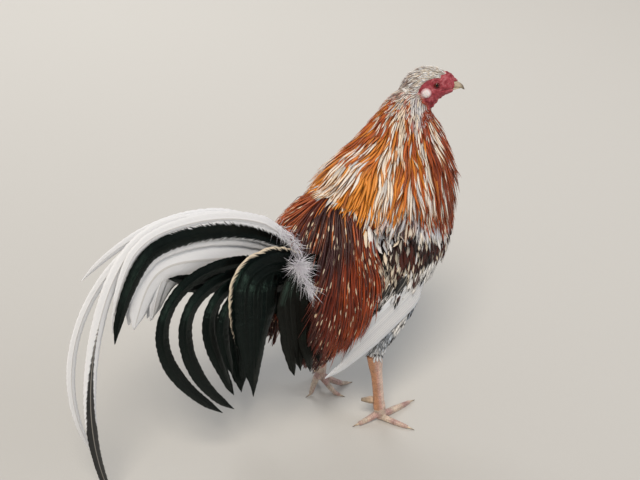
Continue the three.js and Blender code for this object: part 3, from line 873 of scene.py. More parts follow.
def featherKeratin(name, look):
    # keratin, grown as barbs off a shaft: satin, with fine slanting lines and soft light along the vane.
    # the real barbs stand 0.3 mm apart, too fine to show, so they are drawn at look["pitch"] millimetres
    material, tree, shader = newMaterial(name)
    ground, streak, tip = (addNode(tree, "Attribute", attribute_name=key) for key in ("ground", "streak",
                                                                                      "tip"))
    across, along, seed, aside, shifted = vaneLines(tree, -0.8, 40.0)
    wobble = addNode(tree, "TexNoise", {"W": shifted, "Scale": 0.9}, noise_dimensions="1D")
    bent = addNode(tree, "Math", {0: wobble, 1: 1.2, 2: shifted}, operation="MULTIPLY_ADD")
    phase = addNode(tree, "Math", {0: bent, 1: 2 * math.pi / look["pitch"]}, operation="MULTIPLY")
    barbs = addNode(tree, "Math", {0: phase}, operation="SINE")

    # the pale streak down the shaft, ragged at its edges and pointed at both ends
    slanted = addNode(tree, "CombineXYZ", {"X": shifted, "Y": across})
    ragged = addNode(tree, "TexNoise", {"Vector": slanted, "Scale": look["ragScale"], "Detail": 3.0},
                     noise_dimensions="2D")
    rag = addNode(tree, "Math", {0: ragged, 1: look["rag"], 2: -look["rag"] / 2}, operation="MULTIPLY_ADD")
    span = addNode(tree, "MapRange", {
        "Value": along, "From Min": look["streak"][0], "From Max": look["streak"][1]})
    dome = addNode(tree, "Math", {0: span, 1: math.pi}, operation="MULTIPLY")
    body = addNode(tree, "Math", {0: dome}, operation="SINE")
    breadth = addNode(tree, "Math", {0: body, 1: look["streakWidth"], 2: rag}, operation="MULTIPLY_ADD")
    margin = addNode(tree, "Math", {0: breadth, 1: aside}, operation="SUBTRACT")
    streakMask = addNode(tree, "MapRange", {"Value": margin, "From Min": -0.08, "From Max": 0.12})
    streakOn = addNode(tree, "Math", {0: streakMask, 1: streak.outputs["Alpha"]}, operation="MULTIPLY")

    # the marking at the tip, drawn out to a point along the shaft
    forward = addNode(tree, "Math", {0: aside, 1: look["tipLean"], 2: along}, operation="MULTIPLY_ADD")
    worn = addNode(tree, "Math", {0: forward, 1: rag}, operation="ADD")
    tipMask = addNode(tree, "MapRange", {
        "Value": worn, "From Min": look["tipStart"] - 0.04, "From Max": look["tipStart"] + 0.04})
    tipOn = addNode(tree, "Math", {0: tipMask, 1: tip.outputs["Alpha"]}, operation="MULTIPLY")

    # ground, a little darker along each barb, and darker towards the root as painted shade
    shade = addNode(tree, "MapRange", {
        "Value": along, "From Min": 0.0, "From Max": 0.6, "To Min": look["rootShade"], "To Max": 1.0})
    lines = addNode(tree, "Math", {0: barbs, 1: look["lineShade"], 2: 1.0}, operation="MULTIPLY_ADD")
    both = addNode(tree, "Math", {0: shade, 1: lines}, operation="MULTIPLY")
    luck = addNode(tree, "Math", {
        0: seed, 1: look["vary"], 2: 1 - look["vary"] / 2}, operation="MULTIPLY_ADD")
    value = addNode(tree, "Math", {0: both, 1: luck}, operation="MULTIPLY")
    marked = addNode(tree, "Mix", {0: streakOn, 6: ground, 7: streak}, **blended)
    tipped = addNode(tree, "Mix", {0: tipOn, 6: marked.outputs[2], 7: tip}, **blended)
    final = addNode(tree, "Mix", {0: 1.0, 6: tipped.outputs[2], 7: value}, **tinted)
    gloss = addNode(tree, "Math", {0: barbs, 1: 0.05, 2: look["roughness"]}, operation="MULTIPLY_ADD")
    bump = addNode(tree, "Bump", {"Height": barbs, "Strength": look["bump"], "Distance": 0.0003})
    fill(shader, {
        "Base Color": final.outputs[2], "Roughness": gloss, "Normal": bump, "IOR": 1.55,
        "Specular IOR Level": look["specular"], "Sheen Weight": look["sheen"], "Sheen Roughness": 0.4,
    })
    return material


plainLook = {
    "pitch": 1.0, "ragScale": 1.2, "rag": 0.3, "streak": (0.2, 1.0), "streakWidth": 0.5, "tipLean": 0.25,
    "tipStart": 0.72, "rootShade": 0.62, "lineShade": 0.05, "vary": 0.35, "roughness": 0.46, "bump": 0.2,
    "sheen": 0.03, "specular": 0.35,
}


def chance(share, count):  # 1 for about that share of the feathers, 0 for the rest
    return (draw.random(count) < share).astype(float)


def rgba(colour):
    return withStrength(colour, np.ones(len(colour)))


# the coats, from the head down
headCoat = {
    "candidates": 40000, "gap": lambda b: 1.3 + 0.7 * napeShare(b),
    "length": lambda b: 6.5 + 10 * napeShare(b),
    "width": lambda b: 1.6 + 0.9 * napeShare(b), "rise": (0.3, 2.4), "lie": "head", "steps": 5, "float": 2.6,
    "outline": [(0, 0.5), (0.35, 1), (0.75, 0.7), (1, 0.08)], "thick": 0.22, "stray": 0.12,
    "cling": lambda b: 60 - 56 * smooth(-2, 4, onHead(b)[:, 0]) * smooth(-12, -17, onHead(b)[:, 2]),
    "slot": "neck_hackle", "material": "short head keratin, close",
    "look": {"pitch": 0.7, "streakWidth": 0.4, "tipStart": 0.8},
}


def napeShare(bird):  # 0 on the crown and face, 1 at the back and foot of the head
    head = onHead(bird)
    return np.maximum(smooth(14, -12, head[:, 0]), smooth(0, -20, head[:, 2]) * smooth(20, 6, head[:, 0]))


def headColours(bird, label):
    count = len(bird)
    head = onHead(bird)
    rear = smooth(16, -8, head[:, 0])
    low = smooth(-2, -16, head[:, 2])
    ground = mixTone("snow", "cream", draw.random(count))
    ground = mixTone(ground, "ash", np.maximum(low, 0.3 * smooth(20, 34, head[:, 0])) * 0.7
                     * draw.random(count))
    ground = mixTone(ground, "mahogany", chance(0.03 + 0.45 * rear * (1 - low), count) * 0.65)
    foot = smooth(-5, -15, head[:, 2]) * smooth(0, -8, head[:, 0])  # the first rust of the neck
    ground = mixTone(ground, mixTone("rust", "orange", draw.random(count)), chance(0.6 * foot, count) * 0.9)
    throat = smooth(6, 12, head[:, 0]) * smooth(-20, -26, head[:, 2])
    ground = mixTone(ground, mixTone("rust", "mahogany", draw.random(count)), throat)
    streak = withStrength("liver", chance(0.03 + 0.42 * rear * (1 - 0.6 * low), count) * 0.75)
    return {"ground": rgba(ground), "streak": streak, "tip": withStrength("snow", 0.6 * chance(0.4, count))}


hackleCoat = {
    "bridges": True,
    "candidates": 60000,
    "gap": lambda b: 2.8 + 1.9 * smooth(480, 400, b[:, 2]),
    "length": lambda b: np.minimum(14 + 46 * smooth(492, 385, b[:, 2]),
                                   capeReach(b) + 2 - 24 * aboveFringe(b)),
    "width": lambda b: 2.6 + 3.0 * smooth(485, 410, b[:, 2]),
    "rise": (0.4, 3.8), "lie": "hackle", "steps": 7, "float": 6,
    "outline": [(0, 0.45), (0.25, 0.95), (0.55, 1), (0.85, 0.5), (1, 0.03)], "thick": 0.4, "stray": 0.09,
    "droop": 0.22,
    "cling": lambda b: 60 - 54.5 * smooth(-4, 2, onHead(b)[:, 0]) * smooth(-62, -52, onHead(b)[:, 2]),
    "slot": "neck_hackle", "material": "hackle keratin, lustrous",
    "look": {"roughness": 0.42, "streak": (0.15, 1.0), "streakWidth": 0.85, "tipStart": 0.8,
             "rootShade": 0.72},
}


def aboveFringe(bird):  # 1 on the feathers that stop short and show the pale fringe of those beneath
    return smooth(42, 52, capeReach(bird)) * smooth(-48, -26, bird[:, 0])


def lockNoise(bird, wide, long, seed=0.0):  # streaks down the cape, as wide and long as given, -1 to 1
    away = bird - hackleApex
    far = np.linalg.norm(away, axis=1)
    spots = unit(away) * (150 / wide)
    spots[:, 2] = 0.35 * spots[:, 2] + far / long + seed
    return noiseAt(spots) * 1.7


def earTuft(bird):  # the soft pale tuft under the earlobe, and the long cream lock behind it
    head = onHead(bird)
    x, _, z = head.T
    tuft = smooth(-5, -1, x) * smooth(14, 9, x) * smooth(-3, -8, z) * smooth(-38, -26, z)
    longLock = smooth(-18, -16, x) * smooth(-9, -11, x) * smooth(-4, -10, z) * smooth(-66, -56, z)
    return tuft, longLock


def hackleColours(bird, label):
    count = len(bird)
    x, y, z = bird.T
    nape = smooth(472, 500, z)
    frontness = smooth(10, 75, x * 0.85 - y * 0.45)
    lock = lockNoise(bird, 12, 70) + 0.6 * lockNoise(bird, 28, 120, 9.0)
    ground = groundTone(bird, label)
    ground = mixTone(ground, "mahogany", chance(0.14 + 0.25 * frontness, count) * 0.7)
    ground = mixTone(ground, "apricot", chance(0.25 * (1 - frontness), count) * 0.7 * (1 - nape))
    tuft, longLock = earTuft(bird)
    pale = mixTone(mixTone("cream", "snow", draw.random(count) * 0.6), "ash", chance(0.16, count) * 0.5)
    ground = mixTone(ground, mixTone("ash", "snow", draw.random(count)), tuft * 0.85)
    ground = mixTone(ground, "cream", longLock * 0.9)
    streakTone = mixTone(pale, "liver", nape * (1 - tuft))
    share = smooth(0.0, 0.3, lock - 0.08 - 0.28 * frontness) * 0.94 + 0.03
    ground = mixTone(ground, "straw", 0.35 * share * (1 - nape))
    share = share * (1 - nape) + 0.4 * nape * (1 - longLock)
    streak = withStrength(streakTone, chance(share, count) * 0.95)
    fringe = smooth(50, 44, capeReach(bird)) * smooth(-48, -26, x) * chance(0.8, count)
    ground = mixTone(ground, mixTone("ash", "snow", draw.random(count)), fringe * 0.9)
    streak[:, :3] = mixTone(streak[:, :3], "liver", fringe)
    hem = smooth(60, 28, capeReach(bird))
    tips = mixTone("cream", "ash", draw.random(count) * 0.8)
    tip = withStrength(tips, chance(0.08 + 0.55 * hem, count))
    return {"ground": rgba(ground), "streak": streak, "tip": tip}


saddleHem = [(-125, 160), (-100, 163), (-76, 167), (-47, 184), (-25, 205)]  # where its lowest tips end: x, z
saddleCoat = {
    "bridges": True,
    "candidates": 60000,
    "gap": 4.1,
    "length": lambda b: (np.clip(b[:, 2] - ramp(saddleHem, b[:, 0]), 15, 64)
                         * (1 - 0.5 * smooth(-120, -142, b[:, 0]))),
    "width": 3.1, "rise": (0.4, 4.0), "lie": "body", "steps": 8, "float": 5,
    "outline": [(0, 0.5), (0.3, 1), (0.7, 0.75), (1, 0.03)], "thick": 0.45, "stray": 0.07, "droop": 0.25,
    "vary": 0.16,
    "slot": "saddle_hackle", "material": "saddle keratin, lustrous",
    "look": {"roughness": 0.38, "streak": (0.53, 0.68), "streakWidth": 0.85, "tipStart": 0.7,
             "specular": 0.45},
}


def saddleColours(bird, label):
    count = len(bird)
    x, y, z = bird.T
    ground = groundTone(bird, label)
    dark = smooth(-104, -146, x + (z - 288) * 0.25)
    bright = smooth(-118, -84, x) + smooth(-76, -92, x) * smooth(318, 334, z)
    ground = mixTone(ground, "orange", chance(0.22, count) * 0.6 * (1 - dark) * np.minimum(bright, 1))
    ground = mixTone(ground, "liver", chance(0.3, count) * 0.7)
    ground = mixTone(ground, "orange", smooth(-10, 2, y) * smooth(286, 306, z) * chance(0.7, count) * 0.75)
    ground = mixTone(ground, "soot", chance(0.2, count) * 0.7 * dark)
    sunny = smooth(-6, 6, y) * smooth(290, 310, z)
    edge = smooth(-64, -56, x) * smooth(-44, -52, x) * smooth(270, 285, z)
    streakTone = mixTone("cream", "straw", draw.random(count) * 0.6)
    streak = withStrength(streakTone, chance(0.3 + 0.25 * sunny + 0.25 * edge, count) * 0.9)
    tip = withStrength(mixTone("rust", "orange", draw.random(count)),
                       chance(0.5, count) * 0.8 * smooth(250, 215, z) * smooth(-128, -96, x))
    return {"ground": rgba(ground), "streak": streak, "tip": tip}


bodyCoat = {
    "bridges": True,
    "candidates": 40000,
    "gap": 6.2, "length": 23.0,
    "width": 10.0, "rise": (0.3, 3.8), "lie": "body", "steps": 4, "float": 3,
    "outline": [(0, 0.4), (0.3, 0.9), (0.65, 1), (0.9, 0.6), (1, 0.15)], "thick": 0.8, "stray": 0.1,
    "droop": 0.2,
    "slot": "body_feathers", "material": "body keratin, soft",
    "look": {"tipStart": 0.7, "tipLean": -0.2, "streakWidth": 0.4},
}


def bodyColours(bird, label):
    count = len(bird)
    x, _, z = bird.T
    top = smooth(300, 340, z)
    ground = groundTone(bird, label)
    breast = smooth(330, 290, z) * smooth(20, 60, x)
    tipTone = mixTone("cream", "snow", draw.random(count))
    tipShare = np.clip(0.14 * top + 0.55 * breast + 0.3 * smooth(250, 200, z), 0, 1)
    tip = withStrength(tipTone, chance(tipShare, count) * 0.95)
    streak = withStrength("cream", chance(0.12, count) * 0.9)
    return {"ground": rgba(ground), "streak": streak, "tip": tip}


wingCoat = {
    "bridges": True,
    "candidates": 20000,
    "gap": 5.0, "length": 25.0,
    "width": 7.6, "rise": (0.3, 3.6), "lie": "body", "steps": 5, "float": 4,
    "outline": [(0, 0.4), (0.3, 0.9), (0.6, 1), (0.85, 0.55), (1, 0.04)], "thick": 0.8, "stray": 0.09,
    "droop": 0.2,
    "slot": "wing_feathers", "material": "wing keratin, firm",
    "look": {"tipStart": 0.62, "tipLean": -0.3, "streakWidth": 0.7, "streak": (0.15, 1.0)},
}


def wingColours(bird, label):
    count = len(bird)
    x, _, z = bird.T
    front = smooth(4, 26, x)
    lower = smooth(266, 250, z - 0.2 * x - 7 * front)
    rear = smooth(-14, -30, x)
    hem = smooth(298, 312, z)
    lock = patchNoise(bird, 11, 7.0)
    ground = groundTone(bird, label)
    ground = mixTone(ground, "milk", chance(0.05 + 0.85 * lower, count) * 0.95)
    streakTone = mixTone("cream", "stone", draw.random(count) * 0.8)
    streakTone = mixTone(streakTone, "ash", hem * draw.random(count) * 0.8)
    streak = withStrength(streakTone, chance(np.clip(0.2 + 0.35 * lock + 0.62 * rear + 0.4 * hem, 0, 0.92),
                                             count)
                          * 0.92 * (1 - lower))
    tip = withStrength("jet", chance(0.22 + 0.3 * lower - 0.5 * lower * front, count))
    return {"ground": rgba(ground), "streak": streak, "tip": tip}


thighCoat = {
    "candidates": 40000,
    "gap": 4.0, "length": lambda b: 13 - 4 * smooth(170, 125, b[:, 2]),
    "width": lambda b: 6.0 - 2.3 * smooth(170, 125, b[:, 2]), "rise": (0.3, 2.6), "lie": "body", "steps": 4,
    "float": 2, "outline": [(0, 0.45), (0.4, 1), (0.75, 0.85), (1, 0.15)], "thick": 0.6, "stray": 0.12,
    "slot": "thigh_feathers", "material": "thigh keratin, downy",
    "look": {"tipStart": 0.6, "tipLean": 0.2, "roughness": 0.6},
}


def thighColours(bird, label):
    count = len(bird)
    band = np.sin((bird[:, 2] + bird[:, 0] * 0.8) / 5.5 + 2 * patchNoise(bird, 20, 2.0))
    ground = groundTone(bird, label)
    ground = mixTone(ground, "slate", chance(0.15, count) * 0.6)
    tip = withStrength("soot", chance(np.clip(0.1 + 0.5 * band, 0, 1), count) * 0.9)
    streak = withStrength("slate", chance(0.2, count) * 0.7)
    return {"ground": rgba(ground), "streak": streak, "tip": tip}


# plumes: the tail, its coverts and the flight feathers
def placesOn(points, gone, wanted):  # places on a line, by the way gone at each of its points
    return np.stack([np.interp(wanted, gone, points[:, axis]) for axis in range(3)], axis=1)


def plumeLine(row, count):  # points along a tail feather, from its root to its tip
    fine = 240
    u = (np.arange(fine) + 0.5) / fine
    eased = lambda v: np.tanh((v - row["at"]) / row["soft"])
    share = (eased(u) - eased(0)) / (eased(1) - eased(0))
    slope = np.radians(row["rise"] + (row["fall"] - row["rise"]) * share + row.get("curl", 0) * u)
    step = row["length"] / fine
    move = np.stack([-np.cos(slope) * step, np.full(fine, row["aside"] / fine), np.sin(slope) * step], axis=1)
    points = np.concatenate([[row["root"]], row["root"] + np.cumsum(move, axis=0)])
    return placesOn(points, np.arange(fine + 1), np.linspace(0, 1, count) * fine)


def curveThrough(points, count):  # a smooth curve through a few points, evenly stepped
    points = np.array(points, float)
    padded = np.concatenate([[2 * points[0] - points[1]], points, [2 * points[-1] - points[-2]]])
    fine = []
    for a, b, c, d in zip(padded, padded[1:], padded[2:], padded[3:]):
        for t in np.linspace(0, 1, 24, endpoint=False):
            fine.append(0.5 * (2 * b + (c - a) * t + (2 * a - 5 * b + 4 * c - d) * t ** 2
                               + (3 * b - a - 3 * c + d) * t ** 3))
    fine = np.array(fine + [points[-1]])
    gone = np.concatenate([[0], np.cumsum(np.linalg.norm(np.diff(fine, axis=0), axis=1))])
    return placesOn(fine, gone, np.linspace(0, gone[-1], count))


acrossRows = np.array([-1, -0.7, -0.36, -0.08, 0, 0.08, 0.36, 0.7, 1])  # points over a vane, in half widths


class PlumeStack:  # gathers single long feathers into one piece
    def __init__(self):
        self.rows = {key: [] for key in ("points", "quads", "vane", "ink", "reach", "pale", "dark", "spots")}
        self.start = self.count = 0

    def add(self, line, wide, hand, **changes):
        # line: bird millimetres; wide: half width at its widest; hand: the side its upper face is turned to
        look = {**plainPlume, **changes}
        rings, across, facing = len(line), acrossRows, bladeAxis[hand]
        half = rampOver(look["outline"], rings) * wide
        u = np.linspace(0, 1, rings)
        line = line + np.maximum(half + 0.5 - line[:, 2], 0)[:, None] * [0, 0, 1]  # a tip rests on the floor
        tangent = unit(np.gradient(line, axis=0))
        side = unit(np.cross(np.broadcast_to(facing, tangent.shape), tangent))
        up = unit(np.cross(tangent, side))
        seed = draw.random()
        length = np.linalg.norm(np.diff(line, axis=0), axis=1).sum()
        teeth = []  # the barbs part now and then, which notches the vane's edges
        for edge in (-1, 1):
            phase = u * length / look["lock"] + seed * 7 + edge * 0.3 + 0.7 * np.sin(u * 37 + edge + seed * 9)
            teeth.append(1 - look["fray"] * (phase % 1) ** 2 - 0.03 * draw.random(rings))
        width = half[:, None] * np.where(across < 0, teeth[0][:, None], teeth[1][:, None])
        cup = look["cup"] * half[:, None] * across ** 2
        shaft = 0.6 * np.exp(-(across / 0.06) ** 2) * ramp([(0, 1.6), (1, 0.2)], u)[:, None]
        thick = 0.12 + look["thick"] * (1 - np.abs(across))
        flat = line[:, None] + side[:, None] * (width * across)[..., None]
        top = flat + up[:, None] * (thick + shaft - cup)[..., None]
        under = (flat - up[:, None] * (thick + shaft + cup)[..., None])[:, ::-1]
        points = np.concatenate([top, under], axis=1)
        ring = points.shape[1]
        crossing = np.concatenate([across, across[::-1]])
        base = self.start + (np.arange(rings - 1) * ring)[:, None]
        corner = np.arange(ring)[None, :]
        a, b = base + corner, base + (corner + 1) % ring
        k = np.arange(ring // 2 - 1)
        cap = np.stack([k, k + 1, ring - 2 - k, ring - 1 - k], axis=1)
        faces = np.concatenate([
            np.stack([a, a + ring, b + ring, b], axis=-1).reshape(-1, 4),
            self.start + cap, self.start + (rings - 1) * ring + cap[:, ::-1]])
        ink = ramp(look["ink"], u)[:, None] - np.abs(crossing[None, :] - look["inkCentre"])
        column, row = self.count % 8, self.count // 8
        spots = np.stack([(column + 0.5 + np.tile(crossing, rings) * 0.42) / 8,
                          (row + 0.04 + np.repeat(u, ring) * 0.92) / 8], axis=1)
        made = {
            "points": points.reshape(-1, 3), "quads": faces, "ink": ink.ravel(), "spots": spots,
            "vane": np.stack([np.tile(crossing, rings), np.repeat(u, ring), np.full(rings * ring, seed)],
                             axis=1),
            "reach": np.tile([half.max() * 2, length, seed], (rings * ring, 1)),
            "pale": withStrength(look["pale"], np.ones(rings * ring)),
            "dark": withStrength(look["dark"], np.ones(rings * ring)),
        }
        for key, values in made.items():
            self.rows[key].append(values)
        self.start += rings * ring
        self.count += 1

    def piece(self, name, material, slot, nodes):
        rows = {key: np.concatenate(values) for key, values in self.rows.items()}
        mesh = meshOf(name, place(rows["points"]), rows["quads"])
        for key in ("vane", "ink", "reach", "pale", "dark"):
            paint(mesh, key, rows[key])
        unwrapTo(mesh, rows["spots"])
        print(name, self.count, "plumes", len(mesh.polygons) * 2, "triangles")
        return finishPiece(name, mesh, [material], nodes)


def plumeKeratin(name, look):
    # keratin vanes of the long feathers: smooth barbs drawn together, glossy where black, satin where white.
    # the real barbs stand 0.4 mm apart, too fine to show, so they are drawn at look["pitch"] millimetres
    material, tree, shader = newMaterial(name)
    ink, pale, dark = (addNode(tree, "Attribute", attribute_name=key) for key in ("ink", "pale", "dark"))
    _, _, _, aside, shifted = vaneLines(tree, -0.7, 90.0)
    locks = addNode(tree, "TexNoise", {"W": shifted, "Scale": 0.35, "Detail": 3.0}, noise_dimensions="1D")
    phase = addNode(tree, "Math", {0: shifted, 1: 2 * math.pi / look["pitch"]}, operation="MULTIPLY")
    barbs = addNode(tree, "Math", {0: phase}, operation="SINE")

    # where the vane is dark, with an edge torn along the barbs
    rag = addNode(tree, "Math", {0: locks, 1: look["rag"], 2: -look["rag"] / 2}, operation="MULTIPLY_ADD")
    torn = addNode(tree, "Math", {0: ink.outputs["Fac"], 1: rag}, operation="ADD")
    mask = addNode(tree, "MapRange", {"Value": torn, "From Min": -0.06, "From Max": 0.06})
    colour = addNode(tree, "Mix", {0: mask, 6: pale, 7: dark}, **blended)
    shaftMask = addNode(tree, "MapRange", {"Value": aside, "From Min": 0.1, "From Max": 0.05})
    shaftOn = addNode(tree, "Math", {0: shaftMask, 1: look["shaft"]}, operation="MULTIPLY")
    shafted = addNode(tree, "Mix", {
        0: shaftOn, 6: colour.outputs[2], 7: linear(look["shaftColour"])}, **blended)
    lines = addNode(tree, "Math", {0: barbs, 1: look["lineShade"], 2: 1.0}, operation="MULTIPLY_ADD")
    cloudy = addNode(tree, "Math", {
        0: locks, 1: look["lockShade"], 2: 1 - look["lockShade"] / 2}, operation="MULTIPLY_ADD")
    value = addNode(tree, "Math", {0: lines, 1: cloudy}, operation="MULTIPLY")
    final = addNode(tree, "Mix", {0: 1.0, 6: shafted.outputs[2], 7: value}, **tinted)
    gloss = addNode(tree, "MapRange", {
        "Value": mask, "To Min": look["paleRoughness"], "To Max": look["darkRoughness"]})
    bump = addNode(tree, "Bump", {"Height": barbs, "Strength": look["bump"], "Distance": 0.0003})
    fill(shader, {
        "Base Color": final.outputs[2], "Roughness": gloss, "Normal": bump, "IOR": 1.55,
        "Specular IOR Level": look["specular"], "Specular Tint": linear(look["gloss"]),
        "Sheen Weight": look["sheen"],
    })
    return material


plumeLook = {
    "pitch": 1.8, "rag": 0.5, "shaft": 0.5, "shaftColour": "#b9b3aa", "lineShade": 0.05, "lockShade": 0.1,
    "paleRoughness": 0.5, "darkRoughness": 0.3, "bump": 0.45, "gloss": "#ffffff", "sheen": 0.05,
    "specular": 0.4,
}
allInk = [(0, 2), (1, 2)]
noInk = [(0, -2), (1, -2)]
plainPlume = {
    "outline": [(0, 0.2), (0.06, 0.55), (0.14, 0.8), (0.4, 1), (0.75, 0.85), (0.93, 0.5), (1, 0.04)],
    "lock": 6.0, "fray": 0.12, "cup": 0.16, "thick": 0.3, "ink": noInk, "inkCentre": 0, "pale": "snow",
    "dark": "jet",
}
bladeAxis = {"right": np.array([0, -1.0, 0]), "left": np.array([0, 1.0, 0])}

# the long sickles of the middle of the tail: path as in the solids, half width in millimetres, where dark
sickles = {
    "dark": dict(root=(-143, -9, 304), length=673, rise=39, fall=-29, at=0.39, soft=0.08, curl=-84, aside=1,
                 wide=11, ink=[(0, -2), (0.5, -0.4), (0.58, 0.02), (0.66, 0.3), (0.79, 0.85), (0.85, 2),
                               (1, 2)]),
    "green": dict(root=(-146, -13, 297), length=374, rise=45, fall=3, at=0.67, soft=0.05, curl=-85, aside=-3,
                  wide=14, ink=[(0, 0.3), (0.1, 0.62), (0.25, 0.74), (0.45, 0.84), (0.6, 1.05), (0.75, 2),
                                (1, 2)]),
    "short": dict(root=(-141, 9, 299), length=350, rise=48, fall=-40, at=0.73, soft=1.2, aside=5, wide=9,
                  ink=noInk),
    "long": dict(root=(-146, 5, 299), length=593, rise=49, fall=-27, at=0.46, soft=0.31, curl=-90, aside=2,
                 wide=8, ink=noInk),
}
whiteFills = [  # white feathers beside the dark sickle: shift across it and outwards, length, half width
    (17, 3.5, 0.9, 11), (9, 5.5, 0.97, 10), (-13, 4.5, 0.9, 12),
]
tailFan = [  # lift across the tail in millimetres, length and half width of each broad white feather
    (2, 1, 26), (14, 0.88, 15), (-12, 0.9, 19),
]
hangers = {
    "right_1": dict(root=(-144, -18, 281), length=446, rise=26, fall=-94, at=0.49, soft=0.18, curl=-45,
                    aside=-4),
    "right_2": dict(root=(-144, -22, 273), length=391, rise=28, fall=-50, at=0.47, soft=0.11, curl=-90,
                    aside=-6),
    "right_3": dict(root=(-143, -26, 265), length=302, rise=19, fall=-114, at=0.49, soft=0.16, aside=-8),
    "right_4": dict(root=(-140, -30, 264), length=242, rise=15, fall=-107, at=0.54, soft=0.17, aside=-10),
    "left_1": dict(root=(-144, 18, 276), length=332, rise=13, fall=-43, at=0.46, soft=0.09, curl=-90,
                   aside=6),
    "left_2": dict(root=(-140, 22, 275), length=292, rise=-8, fall=-83, at=0.4, soft=0.08, curl=-35, aside=8),
}
hangerWide = 11.5
ringStep = 3.2  # millimetres from one ring of a long plume to the next
fanRings, lowRings = 92, 64
coverts = {  # sheaves of broad feathers: how far they fan out, how many, their half width, how far they close
    "rear_right": dict(root=(-131, -33, 297), length=311, rise=26, fall=-92, at=0.32, soft=0.09, aside=-19,
                       fan=30, count=8, wide=15, close=0.15, sink=22, inner=8),
    "front_right": dict(root=(-128, -44, 290), length=184, rise=40, fall=-95, at=0.02, soft=0.2, aside=-22,
                        fan=40, count=9, wide=12, close=0.7, sink=0, inner=10),
    "rear_left": dict(root=(-134, 33, 280), length=265, rise=-30, fall=-101, at=0.23, soft=0.27, aside=19,
                      fan=24, count=6, wide=15, close=0.2, sink=0, inner=0),
    "front_left": dict(root=(-124, 43, 272), length=170, rise=-50, fall=-92, at=0.1, soft=0.2, aside=20,
                       fan=40, count=9, wide=12, close=0.7, sink=0, inner=10),
}


def slid(line, shift, taper):  # a line moved across itself in the plane of the tail
    across = unit(np.cross(np.gradient(line, axis=0), [0, 1, 0]))
    return line - across * (shift * rampOver(taper, len(line)))[:, None]


def relaxLine(line, rounds):
    for _ in range(rounds):
        line = np.concatenate([line[:1], (line[:-2] + 2 * line[1:-1] + line[2:]) / 4, line[-1:]])
    return line


def clearOf(line, gap):  # lifts a line off the coat where it would sink into it
    near, facing, _ = nearestOn(skin.tree, place(line))
    height = ((place(line) - near) * facing).sum(axis=1) / mm
    return line + relaxLine(facing * (np.maximum(gap - height, 0) * (height < 40))[:, None], 14)


